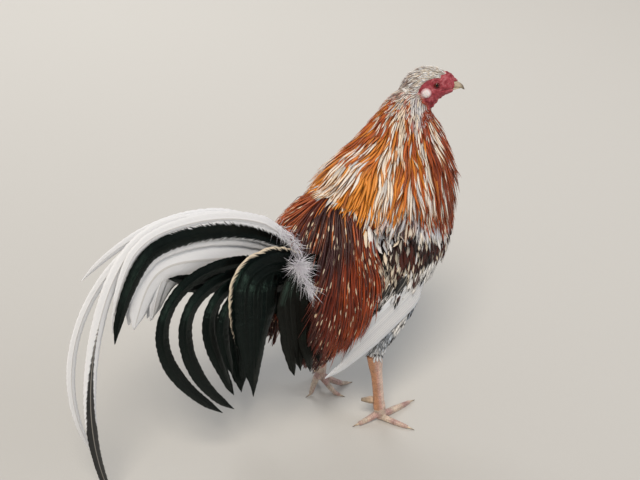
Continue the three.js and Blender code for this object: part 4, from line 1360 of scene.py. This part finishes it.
def growTail():
    whites, blacks = PlumeStack(), PlumeStack()
    for name, row in sickles.items():
        stack = blacks if name == "green" else whites
        rings = int(row["length"] / ringStep)
        line = plumeLine(row, rings)
        stack.add(line, row["wide"], "right", ink=row["ink"])
    rings = int(sickles["green"]["length"] / ringStep)
    spine = plumeLine(sickles["green"], rings)
    for shift, out, share, wide in whiteFills:
        line = slid(spine, shift, [(0, 0.25), (0.2, 0.9), (0.7, 1), (1, 0.2)])[:int(rings * share)]
        line = line + np.array([0, out, 0])
        whites.add(line, wide, "right", pale=mixTone("snow", "ash", 0.12 * draw.random()))
    for hand, y in (("right", -1), ("left", 1)):
        fan = dict(root=(-150, y * 4, 294), length=290, rise=12, fall=-73, at=0.73, soft=0.09, aside=y)
        for k, (lift, share, wide) in enumerate(tailFan):
            line = plumeLine({**fan, "length": fan["length"] * share}, fanRings)
            line = slid(line, lift, [(0, 0.15), (0.2, 0.8), (0.6, 1), (1, 0.1)])
            line = line + np.array([0, y * 1.3 * (1 - k), 0])
            border = [(0, -2), (0.2, -0.6), (0.5, 0.2), (0.85, 0.1), (1, -1)] if k == 2 else noInk
            whites.add(line, wide, hand, fray=0.03, lock=17.0, cup=0.08, ink=border, inkCentre=1,
                       pale=mixTone("snow", "ash", 0.12 * k))
        row = dict(root=(-149, y * 6, 266), length=205, rise=10, fall=20, at=0.5, soft=0.5, aside=y * 7)
        for k, turn in enumerate((0.0, -5.0)):
            low = {**row, "rise": row["rise"] + turn, "fall": row["fall"] + turn,
                   "length": row["length"] * (1 - 0.12 * k)}
            line = plumeLine(low, lowRings) + np.array([0, y * 1.2 * k, 0])
            blacks.add(line, 10.5 - k, hand, ink=allInk)
    for name, row in hangers.items():
        rings = int(row["length"] / ringStep)
        hand = name.split("_")[0]
        border = [(0, 0.55), (0.2, 0.85), (0.3, 2), (1, 2)] if name == "right_1" else allInk
        blacks.add(plumeLine(row, rings), hangerWide, hand, ink=border)
    for name, row in coverts.items():
        hand = name.split("_")[1]
        y = -1 if hand == "right" else 1
        front = name.startswith("front")
        for k in range(row["count"]):
            spot = (k + 0.5) / row["count"] * 2 - 1
            share = 1 - 0.16 * abs(spot) - 0.06 * draw.random()
            if front:
                share -= 0.12 * spot + 0.14 * (k % 2)
            rings = max(24, int(row["length"] * share / 3.4))
            line = plumeLine(row, 160)[:int(160 * share)]
            line = line[np.linspace(0, len(line) - 1, rings).astype(int)]
            u = np.linspace(0, 1, rings)
            shift = -(spot * row["fan"] + row["inner"])
            line = slid(line, shift, [(0, 0.12), (0.15, 0.6), (0.4, 1), (0.7, 0.9), (1, row["close"])])
            line[:, 2] -= row["sink"] * ramp([(0, 0.7), (0.15, 1), (0.35, 1), (0.55, 0.2), (0.7, 0)], u)
            deep = (draw.random() - 0.5) * 4 - 2 * abs(spot)
            line = line + np.array([0, y, 0]) * (deep * ramp([(0, 0.2), (0.2, 1), (1, 1)], u))[:, None]
            if front:
                line = clearOf(line, 9 + 5 * spot + 2 * draw.random())
            edge = name == "rear_right" and k == 0
            ink = [(0, 2), (0.15, 1.5), (0.35, 1.38), (0.6, 1.42), (0.8, 1.7), (1, 2)] if edge else allInk
            blacks.add(line, row["wide"], hand, ink=ink, inkCentre=0.62 if edge else 0, pale="cream",
                       dark=mixTone("jet", "soot", 0.7 * front))
    whiteNodes = ["sickle_dark", "sickle_short", "sickle_long", "tail_upper_right", "tail_upper_left"]
    blackNodes = (["sickle_green", "tail_lower_right", "tail_lower_left"]
                  + ["hanger_" + name for name in hangers] + ["coverts_" + name for name in coverts])
    whites.piece("tail_white_plumes", plumeKeratin("white keratin plume, preened", plumeLook),
                 "white_feathers", whiteNodes)
    blacks.piece("tail_black_plumes", plumeKeratin("black keratin plume, glossed green", {
        **plumeLook, "gloss": "#9fd2c2", "darkRoughness": 0.27, "shaft": 0.2, "shaftColour": "#242220",
        "specular": 0.24, "sheen": 0.0, "lineShade": 0.15, "lockShade": 0.3, "rag": 0.8, "bump": 0.8}),
        "black_feathers", blackNodes)


# tufts of down at the root of the tail: places along a line, spread, how many strands, their length,
# how far they follow the line and how far they hang
fluffs = [
    ([(-188, -18, 352), (-174, -30, 340), (-165, -38, 322)], 3.5, 150, 16, 0.9, 0.3),
    ([(-170, -47, 305), (-167, -48, 301)], 2.5, 420, 23, 0, 0.05),
    ([(-166, -50, 296), (-160, -54, 280), (-154, -58, 264)], 3, 130, 18, 1.2, 0.4),
    ([(-190, 22, 345), (-173, 32, 325), (-154, 42, 300)], 4, 240, 18, 0.8, 0.3),
]


def growDown():  # loose white down, whose barbs stand apart
    spots, ways, lengths = [], [], []
    for places, wide, count, length, follow, hang in fluffs:
        line = curveThrough(places, 40)
        picked = (draw.random(count) ** 0.8 * 39).astype(int)
        along = unit(np.gradient(line, axis=0))[picked]
        side = np.sign(places[0][1])
        spots.append(line[picked] + draw.normal(0, wide, (count, 3)) * [1, 0.5, 1])
        ways.append(unit(draw.normal(0, 1, (count, 3)) * [1, 0.5, 1] + along * follow
                         + [0, side * 0.5, -hang]))
        lengths.append(length * (0.45 + 0.6 * draw.random(count)))
    spots, ways, lengths = np.concatenate(spots), np.concatenate(ways), np.concatenate(lengths)
    steps, count = 5, len(spots)
    spine = np.empty((steps + 1, count, 3))
    bend = draw.normal(0, 0.5, (count, 3)) - [0, 0, 0.3]
    for k in range(steps + 1):
        share = k / steps
        spine[k] = place(spots + (ways * share + bend * share ** 2 * 0.5) * lengths[:, None])
    ups = np.broadcast_to(unit(np.cross(ways, [0.3, 0.1, 1.0])), spine.shape)
    seeds = draw.random(count)
    grey = mixTone("snow", "#dad4e0", draw.random(count))
    none = withStrength(grey, np.zeros(count))
    mesh = vaneMesh("tail_down", spine, ups, 0.45 + 0.35 * seeds, [(0, 1), (0.5, 0.9), (1, 0.1)],
                    0.2, 0.1, seeds, atlasSpots(spots, ways, np.full(count, 4)),
                    {"ground": rgba(grey), "streak": none, "tip": none})
    print("tail_down", count, "strands")
    look = {**plainLook, "roughness": 0.7, "rootShade": 0.85, "vary": 0.15, "sheen": 0.1}
    return finishPiece("tail_down", mesh, [featherKeratin("down keratin, loose", look)])


# along the middle of the folded wing
quillRoots = [(56, 66, 242), (15, 72, 217), (-34, 69, 181), (-78, 61, 143), (-112, 52, 111)]
bowTips = [  # last coverts of the wing bow, on the right: places, half width, colour
    ([(2, -76, 268), (-8, -79, 248), (-20, -79, 229)], 8.5, "jet"),
    ([(21, -76, 262), (17, -79, 246), (12, -79, 228)], 6, "liver"),
    ([(-24, -74, 258), (-34, -77, 240), (-42, -77, 224)], 6.5, "soot"),
]
hemTips = [  # pale feathers under the rim of the cape, over the hollow between saddle and wing
    (-72, "cream"), (-65, "snow"), (-58, "ash"), (-51, "cream"), (-45, "snow"), (-38, "ash"), (-31, "snow"),
]


# flight feathers on a side, rings of each, steps along the wing, half width in millimetres
flightSettings = {"count": 10, "rings": 70, "steps": 120, "wide": 8.5}


def laidOn(tree, line, lift):  # a line laid on a surface and lifted by so many millimetres
    near, facing, _ = nearestOn(tree, place(line))
    return layout(near + facing * lift[:, None] * mm)


def growFlights():
    for hand, y in (("right", -1), ("left", 1)):
        stack = PlumeStack()
        for places, wide, colour in bowTips:
            line = curveThrough(np.array(places) * [1, -y, 1], 16)
            line = laidOn(skin.tree, line, rampOver([(0, -2), (0.35, 2.5), (1, 5.5)], 16))
            stack.add(line, wide, hand, fray=0.03, dark=colour,
                      ink=[(0, -0.6), (0.35, 0.4), (0.5, 2), (1, 2)],
                      outline=[(0, 0.2), (0.3, 0.8), (0.65, 1), (0.85, 0.7), (1, 0.06)])
        for k, (x, colour) in enumerate(hemTips):
            top = 332 - 0.35 * (x + 30) + k % 2 * 5
            places = np.array([(x + 5, 58, top), (x, 68, top - 18), (x - 3, 76, top - 34 - k % 3 * 5)])
            line = curveThrough(places * [1, y, 1], 12)
            line = laidOn(skin.over, line, rampOver([(0, -3), (0.4, 1.5), (1, 4.5)], 12) - bridgeGap)
            stack.add(line, 5, hand, fray=0.1, pale=mixTone(colour, "straw", 0.15),
                      outline=[(0, 0.3), (0.3, 0.9), (0.6, 1), (0.85, 0.6), (1, 0.06)])
        count, rings, steps, wide = flightSettings.values()
        middle = curveThrough(np.array(quillRoots) * [1, y, 1], steps)
        for k in range(count):
            share = k / (count - 1)  # 0 for the uppermost feather
            first, last = 0.02 + 0.16 * share, 0.60 + 0.4 * share ** 0.8
            line = middle[np.linspace(first * (steps - 1), last * (steps - 1), rings).astype(int)]
            line = relaxLine(line, 6)
            u = np.linspace(0, 1, rings)
            across = unit(np.cross(np.gradient(line, axis=0), [0, 1, 0]))
            across = across * np.sign(across[:, 2:3])
            spreadOut = ramp([(0, 14), (0.25, 22), (0.6, 20), (0.85, 13), (1, 3)],
                             np.linspace(first, last, rings))
            line = line + across * (spreadOut * (0.95 - 1.9 * share))[:, None]
            line[:, 1] += y * (2.4 - 4.6 * share + 1.2 * np.sin(u * math.pi))
            stack.add(line, wide, hand, fray=0.02, lock=9.0, cup=0.12,
                      pale=mixTone("snow", "ash", 0.1 + 0.25 * draw.random()),
                      outline=[(0, 0.5), (0.1, 0.9), (0.6, 1), (0.9, 0.8), (1, 0.12)])
        stack.piece("flight_feathers_" + hand, plumeKeratin("white flight keratin, " + hand, {
            **plumeLook, "lockShade": 0.14, "shaftColour": "#cfc8bd"}), "white_feathers", ["flights_" + hand])


# horn: beak, claws and spurs
def smoothNode(names, voxel, rounds, name):
    points, triangles, _ = joined(names)
    mesh = remeshed(points, triangles, voxel * mm, name)
    movePoints(mesh, relax(pointsOf(mesh), edgesOf(mesh), np.ones(len(mesh.vertices)), rounds))
    smoothShade(mesh)
    return mesh


def hornKeratin(name, look):
    # horn, laid down in layers as it grows: a soft gloss with faint growth lines and a translucent edge
    material, tree, shader = newMaterial(name)
    ground = addNode(tree, "Attribute", attribute_name="ground")
    grow = addNode(tree, "Attribute", attribute_name="grow")
    where = addNode(tree, "TexCoord")
    mottle = addNode(tree, "TexNoise", {"Vector": where.outputs["Object"], "Scale": 260.0, "Detail": 4.0})
    bent = addNode(tree, "Math", {0: mottle, 1: 1.6, 2: grow.outputs["Fac"]}, operation="MULTIPLY_ADD")
    phase = addNode(tree, "Math", {0: bent, 1: look["lines"]}, operation="MULTIPLY")
    lines = addNode(tree, "Math", {0: phase}, operation="SINE")
    shade = addNode(tree, "MapRange", {
        "Value": mottle, "From Min": 0.3, "From Max": 0.7, "To Min": 0.78, "To Max": 1.12})
    value = addNode(tree, "Math", {0: lines, 1: 0.06, 2: shade}, operation="MULTIPLY_ADD")
    final = addNode(tree, "Mix", {0: 1.0, 6: ground, 7: value}, **tinted)
    gloss = addNode(tree, "MapRange", {
        "Value": mottle, "To Min": look["roughness"] - 0.08, "To Max": look["roughness"] + 0.1})
    bump = addNode(tree, "Bump", {"Height": lines, "Strength": 0.25, "Distance": 0.0001})
    fill(shader, {
        "Base Color": final.outputs[2], "Roughness": gloss, "Normal": bump, "IOR": 1.55,
        "Subsurface Weight": 0.08, "Subsurface Radius": (0.002, 0.0012, 0.0008), "Subsurface Scale": 1.0,
    })
    return material


beakLook = {"lines": 4.0, "roughness": 0.36, "root": "#dab8ae", "middle": "#cdbea4", "tip": "#5b4d3c"}


def buildBeak():
    material = hornKeratin("horn of the beak, worn smooth", beakLook)
    for node in ("beak_upper", "beak_lower"):
        mesh = smoothNode([node], 0.5, 5, node + "_horn")
        head = onHead(layout(pointsOf(mesh)))
        x, y, z = head.T
        side = np.sign(y)
        if node == "beak_upper":
            pit = np.exp(-((x - 49.5) / 2.0) ** 2 - ((z - 6.6) / 0.95) ** 2) * smooth(1, 3, np.abs(y))
            lidAbove = np.exp(-((x - 49.5) / 2.8) ** 2 - ((z - 8.1) / 0.7) ** 2) * smooth(1, 3, np.abs(y))
            head[:, 1] -= side * 1.6 * pit
            head[:, 1] += side * 0.45 * lidAbove
            head[:, 2] -= 1.0 * smooth(46, 50, x) * smooth(6.5, 3, z)  # the cutting edges meet
        else:
            head[:, 2] += 1.2 * smooth(44, 50, x)
        movePoints(mesh, place(offHead(head)))
        share = (x - 43) / 23
        colour = mixTone(beakLook["root"], beakLook["middle"], smooth(0.0, 0.4, share))
        ridge = smooth(4, 9, z) * 0.35
        colour = mixTone(colour, beakLook["tip"], np.clip(smooth(0.6, 1.0, share) + ridge, 0, 1))
        # painted shade: the nostril pit darkened
        if node == "beak_upper":
            colour = mixTone(colour, "#2a1d18", np.clip(pit * 1.3, 0, 1))
        paint(mesh, "ground", rgba(colour))
        paint(mesh, "grow", x)
        finishPiece(node + "_horn", mesh, [material], [node])


clawLook = {"lines": 3.0, "roughness": 0.4, "root": "#c9b49a", "tip": "#6a5a48"}
spurLook = {"lines": 3.0, "roughness": 0.45, "root": "#b39a80", "tip": "#8a7a66"}


def buildClaws():
    claws = sorted(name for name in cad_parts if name.startswith("claw_"))
    spurs = sorted(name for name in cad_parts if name.startswith("spur_"))
    for name, nodes, look, voxel, title in (
            ("claws", claws, clawLook, 0.45, "horn of the claws, blunted"),
            ("spurs", spurs, spurLook, 0.6, "horn of the spurs, trimmed")):
        mesh = smoothNode(nodes, voxel, 4, name)
        bird = layout(pointsOf(mesh))
        share = np.zeros(len(bird))
        for node in nodes:
            low, high = (layout(np.array(c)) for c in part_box(node))
            inside = ((bird > low - 1.5) & (bird < high + 1.5)).all(axis=1)
            hand = "right" if "right" in node else "left"
            joint = np.array(feet[hand]["joint"], float)
            span = np.linalg.norm((bird - joint)[inside, :2], axis=1)
            share[inside] = (span - span.min()) / max(np.ptp(span), 1e-6)
        colour = mixTone(look["root"], look["tip"], smooth(0.2, 1, share))
        paint(mesh, "ground", rgba(colour))
        paint(mesh, "grow", share * 10)
        finishPiece(name, mesh, [hornKeratin(title, look)], nodes)


# eyes: radii in millimetres, with the gaze running from the middle out to its reach
eyeLook = {"pupil": 2.0, "iris": 3.5, "reach": 6, "irisInner": "#7a2f14", "irisOuter": "#4a160a",
           "rim": "#120806"}


def eyeGlass():
    # cornea and iris: wet and clear, so the eye is dark with one sharp highlight
    material, tree, shader = newMaterial("living eye, wet")
    gaze = addNode(tree, "Attribute", attribute_name="gaze")
    split = addNode(tree, "SeparateXYZ", {"Vector": gaze.outputs["Vector"]})
    polar = addNode(tree, "CombineXYZ", {"X": split.outputs["Y"], "Y": split.outputs["X"]})
    spokes = addNode(tree, "TexNoise", {"Vector": polar, "Scale": 6.0, "Detail": 4.0}, noise_dimensions="2D")
    rings = addNode(tree, "ValToRGB", {"Fac": split.outputs["X"]})
    bands = rings.color_ramp
    pupil, iris, soft = eyeLook["pupil"] / eyeLook["reach"], eyeLook["iris"] / eyeLook["reach"], 0.03
    stops = [(0, "#050404"), (pupil, "#050404"), (pupil + soft, eyeLook["irisInner"]),
             (iris - soft, eyeLook["irisOuter"]), (iris + soft, eyeLook["rim"])]
    while len(bands.elements) < len(stops):
        bands.elements.new(0.5)
    for element, (spot, code) in zip(bands.elements, stops):
        element.position = spot
        element.color = linear(code)
    shade = addNode(tree, "MapRange", {
        "Value": spokes, "From Min": 0.3, "From Max": 0.7, "To Min": 0.6, "To Max": 1.3})
    final = addNode(tree, "Mix", {0: 1.0, 6: rings, 7: shade}, **tinted)
    fill(shader, {
        "Base Color": final.outputs[2], "Roughness": 0.08, "IOR": 1.38, "Specular IOR Level": 0.3,
        "Coat Weight": 0.25, "Coat Roughness": 0.03,
    })
    return material


def buildEyes():
    material = eyeGlass()
    rings, spokes = 40, 48
    for hand, y in (("right", -1), ("left", 1)):
        axis = unit(eyeAxis * [1, y, 1])
        first = unit(np.cross([0, 0, 1], axis))
        second = np.cross(axis, first)
        tilt = np.linspace(0.004, math.pi - 0.004, rings)[:, None]
        turn = (np.arange(spokes) * 2 * math.pi / spokes)[None, :]
        bulge = eyeRadius - 0.05 + 0.3 * np.exp(-(np.degrees(tilt) / 26) ** 2)
        ball = (axis * (bulge * np.cos(tilt) * np.ones_like(turn))[..., None]
                + first * (bulge * np.sin(tilt) * np.cos(turn))[..., None]
                + second * (bulge * np.sin(tilt) * np.sin(turn))[..., None])
        head = (eyeCentre * [1, y, 1] + ball).reshape(-1, 3)
        k = (np.arange(rings - 1) * spokes)[:, None]
        j = np.arange(spokes)[None, :]
        quads = np.stack([k + j, k + spokes + j, k + spokes + (j + 1) % spokes, k + (j + 1) % spokes],
                         axis=-1).reshape(-1, 4)
        half = np.arange(spokes // 2 - 1)
        cap = np.stack([half, half + 1, spokes - 2 - half, spokes - 1 - half], axis=1)
        quads = np.concatenate([quads, cap, ((rings - 1) * spokes + cap)[:, ::-1]])
        mesh = meshOf("eyeball_" + hand, place(offHead(head)), quads)
        away = (eyeRadius * np.sin(tilt) * np.ones_like(turn)).ravel()
        away = np.where(np.cos(tilt * np.ones_like(turn)).ravel() > 0, away,
                        eyeLook["reach"]) / eyeLook["reach"]
        paint(mesh, "gaze", np.stack([away, (turn * np.ones_like(tilt)).ravel(), away * 0], axis=1))
        finishPiece("eyeball_" + hand, mesh, [material], ["eye_" + hand])


# skin materials
def underCoat():
    # skin under the feathers: dull and soft, in the coat's own colours darkened as painted shade, so that no
    # gap shows bare
    material, tree, shader = newMaterial("downy skin, feather-covered")
    ground = addNode(tree, "Attribute", attribute_name="ground")
    where = addNode(tree, "TexCoord")
    down = addNode(tree, "TexNoise", {"Vector": where.outputs["Object"], "Scale": 300.0, "Detail": 5.0})
    # painted shade: the coat's colours kept to 0.35–0.8 of themselves, mottled by the down noise
    shade = addNode(tree, "MapRange", {
        "Value": down, "From Min": 0.3, "From Max": 0.7, "To Min": 0.35, "To Max": 0.8})
    final = addNode(tree, "Mix", {0: 1.0, 6: ground, 7: shade}, **tinted)
    bump = addNode(tree, "Bump", {"Height": down, "Strength": 0.6, "Distance": 0.0006})
    fill(shader, {"Base Color": final.outputs[2], "Normal": bump, "Roughness": 0.85})
    return material


faceLook = {"red": "#9c3540", "deep": "#6d1c28", "pink": "#c98085", "lobe": "#e6dcdc", "lobeRim": "#c78f95",
            "comb": "#84202c"}


def bareSkin():
    # living bare skin, pebbled with papillae: blood red with paler patches of painted highlight and deeper
    # patches of painted shade, and a little light inside it.
    # papillae are 0.6 mm apart, drawn at 1 mm so that they show
    material, tree, shader = newMaterial("bare facial skin, pebbled")
    ground = addNode(tree, "Attribute", attribute_name="ground")
    where = addNode(tree, "TexCoord")
    patches = addNode(tree, "TexNoise", {
        "Vector": where.outputs["Object"], "Scale": 170.0, "Detail": 4.0, "Roughness": 0.6})
    pebbles = addNode(tree, "TexVoronoi", {"Vector": where.outputs["Object"], "Scale": 1000.0})
    # painted highlight in paler patches and painted shade in deeper red patches, both laid by the noise
    highlightOn = addNode(tree, "MapRange", {"Value": patches, "From Min": 0.5, "From Max": 0.68, "To Max": 0.55})
    shadeOn = addNode(tree, "MapRange", {"Value": patches, "From Min": 0.5, "From Max": 0.34, "To Max": 0.7})
    highlighted = addNode(tree, "Mix", {0: highlightOn, 6: ground, 7: linear(faceLook["pink"])}, **blended)
    isLobe = addNode(tree, "Attribute", attribute_name="lobe")
    keep = addNode(tree, "Math", {0: 1.0, 1: isLobe.outputs["Fac"]}, operation="SUBTRACT")
    shadeKeep = addNode(tree, "Math", {0: shadeOn, 1: keep}, operation="MULTIPLY")
    darker = addNode(tree, "Mix", {
        0: shadeKeep, 6: highlighted.outputs[2], 7: linear(faceLook["deep"])}, **blended)
    whole = addNode(tree, "Mix", {0: isLobe.outputs["Fac"], 6: darker.outputs[2], 7: ground}, **blended)
    gloss = addNode(tree, "MapRange", {"Value": pebbles, "From Max": 0.0006, "To Min": 0.42, "To Max": 0.62})
    bump = addNode(tree, "Bump", {"Height": pebbles, "Strength": 0.5, "Distance": 0.0004}, invert=True)
    fill(shader, {
        "Base Color": whole.outputs[2], "Roughness": gloss, "Normal": bump, "Subsurface Weight": 0.15,
        "Subsurface Radius": (0.004, 0.0012, 0.0008), "Subsurface Scale": 1.0,
    })
    return material


legLook = {"front": "#dcc0b0", "rear": "#bd8a68", "line": "#c9948b", "toe": "#bb9890", "toePale": "#d3c1ae",
           "seam": "#8a5f4a"}


def scaledLeg():
    # keratin scutes over the leg: dry and waxy, a darker seam between one scute and the next
    material, tree, shader = newMaterial("leg scutes, dry")
    ground = addNode(tree, "Attribute", attribute_name="ground")
    where = addNode(tree, "TexCoord")
    cells = addNode(tree, "TexVoronoi", {
        "Vector": where.outputs["Object"], "Scale": 420.0}, feature="DISTANCE_TO_EDGE")
    seam = addNode(tree, "MapRange", {"Value": cells, "From Min": 0.02, "From Max": 0.14})
    dirt = addNode(tree, "TexNoise", {"Vector": where.outputs["Object"], "Scale": 120.0, "Detail": 4.0})
    shade = addNode(tree, "MapRange", {
        "Value": dirt, "From Min": 0.3, "From Max": 0.7, "To Min": 0.75, "To Max": 1.15})
    seamed = addNode(tree, "MapRange", {"Value": seam, "To Min": 0.72, "To Max": 1.0})
    value = addNode(tree, "Math", {0: shade, 1: seamed}, operation="MULTIPLY")
    final = addNode(tree, "Mix", {0: 1.0, 6: ground, 7: value}, **tinted)
    gloss = addNode(tree, "MapRange", {"Value": dirt, "To Min": 0.42, "To Max": 0.62})
    bump = addNode(tree, "Bump", {"Height": seam, "Strength": 0.4, "Distance": 0.0004})
    fill(shader, {
        "Base Color": final.outputs[2], "Roughness": gloss, "Normal": bump, "Subsurface Weight": 0.06,
        "Subsurface Radius": (0.003, 0.0012, 0.0008), "Subsurface Scale": 1.0,
    })
    return material


def legTone(bird):
    along, front, pitch = legMarks(bird)
    patch = patchNoise(bird, 14)
    shank = mixTone(legLook["rear"], legLook["front"], smooth(-0.85, -0.1, front + patch * 0.25))
    shank = mixTone(shank, legLook["line"], np.exp(-((front + 0.35) / 0.25) ** 2) * 0.6)
    toes = mixTone(legLook["toe"], legLook["toePale"], np.clip(0.4 + patch, 0, 1))
    colour = mixTone(shank, toes, smooth(8, -6, along))
    seam = np.exp(-(((along / pitch) % 1 - 0.02) / 0.07) ** 2)
    return mixTone(colour, legLook["seam"], seam * 0.5)


def faceTone(head, label):
    colour = np.tile(toneOf(faceLook["red"]), (len(head), 1))
    colour = mixTone(colour, faceLook["comb"], among(label, "comb").astype(float))
    own = np.stack([head[:, 0], np.abs(head[:, 1]), head[:, 2]], axis=1)
    away = np.sqrt(((own[:, 0] - 14.5) / 6.4) ** 2 + ((own[:, 2] + 3) / 6.8) ** 2)
    lobe = (1 - smooth(0.98, 1.12, away)) * (own[:, 1] > 8)
    rim = lobe * smooth(0.62, 0.95, away)
    colour = mixTone(colour, faceLook["lobe"], lobe)
    colour = mixTone(colour, faceLook["lobeRim"], rim * 0.8)
    fromEye = np.linalg.norm(own - eyeCentre, axis=1)
    # painted shade: the skin darker in the crease round the eye
    colour = mixTone(colour, faceLook["deep"], (1 - smooth(4.6, 5.6, fromEye)) * 0.7)
    return colour, lobe


def dressSkin(mesh, label, face):
    bird = layout(pointsOf(mesh))
    head = onHead(bird)
    colour = groundTone(bird, label)
    isHead = among(label, "head", "comb", "lobe")
    bare = isHead & ((face > 0.3) | (label > 0)) & (head[:, 0] > 1)
    leg = among(label, "leg", "toe")
    redTone, lobe = faceTone(head, label)
    colour = np.where(bare[:, None], redTone, colour)
    colour = np.where(leg[:, None], legTone(bird), colour)
    paint(mesh, "ground", rgba(colour))
    paint(mesh, "lobe", lobe * bare)
    first = read(mesh.loops, "vertex_index")[read(mesh.polygons, "loop_start")]
    slots = np.where(leg[first], 2, np.where(bare[first], 1, 0))
    mesh.polygons.foreach_set("material_index", slots.astype(np.int32))
    smoothShade(mesh)
    unwrapTo(mesh, atlasSpots(bird, normalsOf(mesh), label))
    mesh.update()


# building
setCamera()
setStudio()
skinMesh, skinLabel, skinFace, fleshNodes = buildSkin()
dressSkin(skinMesh, skinLabel, skinFace)
finishPiece("skin", skinMesh, [underCoat(), bareSkin(), scaledLeg()], fleshNodes)
skin = Skin(skinMesh, skinLabel)
print("skin:", len(skin.triangles), "triangles")
isPart = {part: among(skinLabel, part) for part in partNames}

skinBird = layout(skin.points)
skinHead = onHead(skinBird)
x, y, z = skinBird.T
level = skin.normals[:, 2]
# which coat grows where; the throat keeps the short feathers of the head
collar = isPart["neck"] & ((skinHead[:, 2] > -22) | (skinHead[:, 2] > -40) & (skinHead[:, 0] > 5))
throat = (skinHead[:, 2] > -34) & (skinHead[:, 0] > 7)
caped = isPart["neck"] & (capeReach(skinBird) > 20) & (level > -0.25) & ~throat
onTop = isPart["trunk"] & (x < -55) & (z > 305)
mantled = isPart["neck"] & ~caped & ~collar & (level > -0.1)
shoulder = mantled & (x > -55) & (np.abs(y) > 22)
shoulder |= isPart["trunk"] & (x > -55) & (np.abs(y) > 30) & (z > 280)
mantled &= ~shoulder
growCoat("head_feathers", headCoat, headColours, (isPart["head"] | collar) & (skinFace < 0.4))
growCoat("hackle", hackleCoat, hackleColours, caped)
growCoat("saddle_feathers", saddleCoat, saddleColours,
         isPart["saddle"] & (level > -0.6) | onTop | mantled & (x < -40))
growCoat("body_feathers", bodyCoat, bodyColours, isPart["trunk"] & ~onTop & ~shoulder | mantled & (x > -40))
growCoat("wing_bow_feathers", wingCoat, wingColours, isPart["wing"] | shoulder)
growCoat("thigh_feathers", thighCoat, thighColours, isPart["thigh"])
growTail()
growDown()
growFlights()
buildBeak()
buildClaws()
buildEyes()

total = 0
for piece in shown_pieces():
    if not piece.hide_render and piece.type == "MESH":
        piece.data.calc_loop_triangles()
        total += len(piece.data.loop_triangles)
print("triangles in all:", total)
